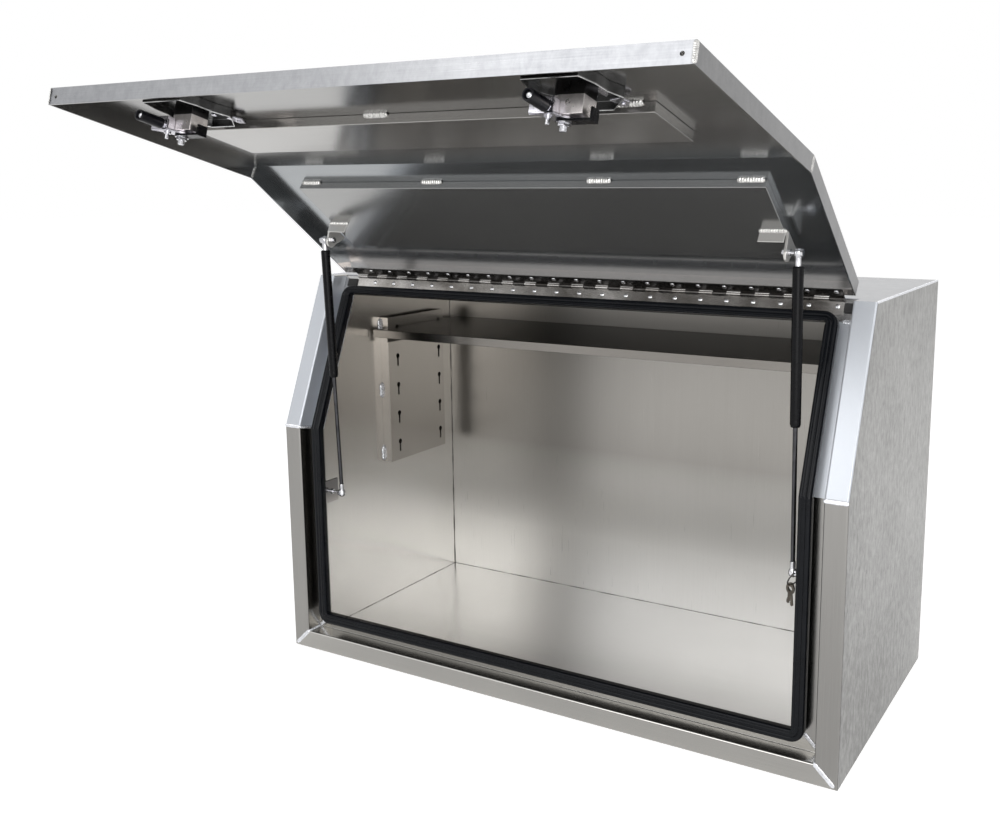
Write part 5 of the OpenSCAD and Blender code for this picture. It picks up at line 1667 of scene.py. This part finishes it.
@dataclass(frozen=True)
class Studio:
    """The pale floor, the white surroundings and the lamps."""

    floor_half: float = 30.0
    floor_colour: Colour = (0.80, 0.80, 0.80)
    floor_glow: float = 0.57
    ambient: float = 0.55
    lamps: tuple[Softbox, ...] = (
        Softbox("key lamp", (-0.9, -3.5, 3.1), (0.0, -0.4, 0.7), 2.4, 34.0),
        Softbox("front lamp", (1.9, -3.4, 1.1), (-0.1, 0.0, 0.3), 2.4, 70.0),
        Softbox("side lamp", (3.2, -0.4, 2.4), (0.2, 0.0, 0.5), 1.8, 12.0),
        Softbox("back lamp", (-0.6, 3.2, 3.0), (0.0, 0.0, 0.5), 1.8, 20.0),
    )

    def background_share(self, tree: bpy.types.NodeTree) -> bpy.types.NodeSocket:
        """1 for rays from the camera, in gloss and through glass, and 0 for the others."""
        path = tree.nodes.new("ShaderNodeLightPath")
        total = path.outputs["Is Camera Ray"]
        for name in ("Is Glossy Ray", "Is Transmission Ray"):
            larger = tree.nodes.new("ShaderNodeMath")
            larger.operation = "MAXIMUM"
            tree.links.new(total, larger.inputs[0])
            tree.links.new(path.outputs[name], larger.inputs[1])
            total = larger.outputs[0]
        return total

    def build_world(self) -> None:
        """White where it is seen, and a plain ambient level for what it lights."""
        world = bpy.data.worlds.new("surroundings")
        bpy.context.scene.world = world
        world.use_nodes = True
        tree = world.node_tree
        level = tree.nodes.new("ShaderNodeMapRange")
        level.inputs["To Min"].default_value = self.ambient
        level.inputs["To Max"].default_value = 1.0
        tree.links.new(self.background_share(tree), level.inputs["Value"])
        background = tree.nodes["Background"]
        background.inputs["Color"].default_value = (1.0, 1.0, 1.0, 1.0)
        tree.links.new(level.outputs[0], background.inputs["Strength"])

    def build_floor(self) -> None:
        """A plane that keeps the object's shadow, and glows towards white where it is seen."""
        half = self.floor_half
        mesh = bpy.data.meshes.new("floor")
        corners = [(-half, -half, 0), (half, -half, 0), (half, half, 0), (-half, half, 0)]
        mesh.from_pydata(corners, [], [(0, 1, 2, 3)])
        floor = bpy.data.objects.new("floor", mesh)
        bpy.context.scene.collection.objects.link(floor)
        graph = Graph("pale floor")
        share = self.background_share(graph.tree)
        glow = graph.node("ShaderNodeEmission", Color=(1.0, 1.0, 1.0))
        graph.feed(glow.inputs["Strength"], graph.maths("MULTIPLY", share, self.floor_glow))
        matt = graph.node("ShaderNodeBsdfDiffuse", Color=self.floor_colour)
        both = graph.tree.nodes.new("ShaderNodeAddShader")
        graph.feed(both.inputs[0], glow.outputs[0])
        graph.feed(both.inputs[1], matt.outputs[0])
        graph.feed(graph.output.inputs["Surface"], both.outputs[0])
        mesh.materials.append(graph.material)

    def build(self) -> None:
        """Makes the whole studio."""
        self.build_world()
        self.build_floor()
        for lamp in self.lamps:
            lamp.build()


NODE_FINISH = {
    "floor_panel": Finish.FLOOR_PANEL, "back_panel": Finish.BACK_PANEL, "top_panel": Finish.TOP_PANEL,
    "side_panel": Finish.SIDE_PANEL, "sill_rail": Finish.SILL, "header_rail": Finish.HEADER,
    "lower_jamb": Finish.STRIP, "upper_jamb": Finish.SLANT_STRIP,
    "body_welds": Finish.WELD, "door_seal": Finish.SEAL, "hinge_end_plugs": Finish.FOAM,
    "hinge_body_leaf": Finish.HINGE, "hinge_pin": Finish.DARK_STEEL, "hinge_body_rivets": Finish.RIVET,
    "shelf_bracket": Finish.BRACKET, "strut_lower_brackets": Finish.LOWER_STRUT_BRACKET,
    "strut_lower_ball_studs": Finish.BRIGHT_ZINC, "shelf": Finish.SHELF, "shelf_lugs": Finish.RIVET,
    "door_skin": Finish.DOOR, "door_lower_stiffener": Finish.LOW_TRAY, "door_upper_stiffener": Finish.TRAY,
    # The door's hinge leaf gets the dark steel: painted shade, as it faces down in shadow; the body's leaf
    # is the same hinge steel.
    "door_welds": Finish.WELD, "hinge_door_leaf": Finish.DARK_STEEL, "hinge_door_rivets": Finish.RIVET,
    "strut_upper_brackets": Finish.STRUT_BRACKET, "strut_upper_nuts": Finish.BRIGHT_ZINC,
    "lock_dishes": Finish.DISH, "lock_housings": Finish.CAST_ZINC, "lock_face_plates": Finish.POLISHED,
    "strut_rod": Finish.ROD, "strut_lower_socket": Finish.BRIGHT_ZINC,
    "strut_tube": Finish.BLACK_PAINT, "strut_upper_socket": Finish.BRIGHT_ZINC,
    "strut_ball_stud": Finish.BRIGHT_ZINC, "lock_handle": Finish.POLISHED,
    "lock_spindle": Finish.BRIGHT_ZINC, "lock_cam": Finish.PALE_ZINC, "lock_lever": Finish.BLACK_PAINT,
    "lock_roller": Finish.ROLLER, "lock_roller_bolt": Finish.BRIGHT_ZINC,
    "lock_key_barrel": Finish.POLISHED, "key_ring": Finish.BRIGHT_ZINC, "keys": Finish.KEY,
}


def dress_nodes() -> None:
    """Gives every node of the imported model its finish, and rounds the hard edges of most."""
    for name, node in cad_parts.items():
        short = name.removeprefix("left_").removeprefix("right_")
        finish = NODE_FINISH.get(name) or NODE_FINISH[short]
        finish.dress(node)
        radius = SOFTENED.get(name) or SOFTENED.get(short)
        if radius:
            soften(node, radius)


def main() -> None:
    """Builds the scene."""
    logging.basicConfig(level=logging.INFO, format="%(name)s: %(message)s")
    Camera().build()
    Studio().build()
    dress_nodes()
    MouthFrame().build()
    WeldBeads().build()
    InnerSeams().build()
    HingeRivets().build()
    for side in Side:
        GasStrut(side).build()
        RollerLock(side).build()
    RingOfKeys().build()
    bpy.context.scene.view_settings.view_transform = "Standard"


if __name__ == "__main__":
    main()
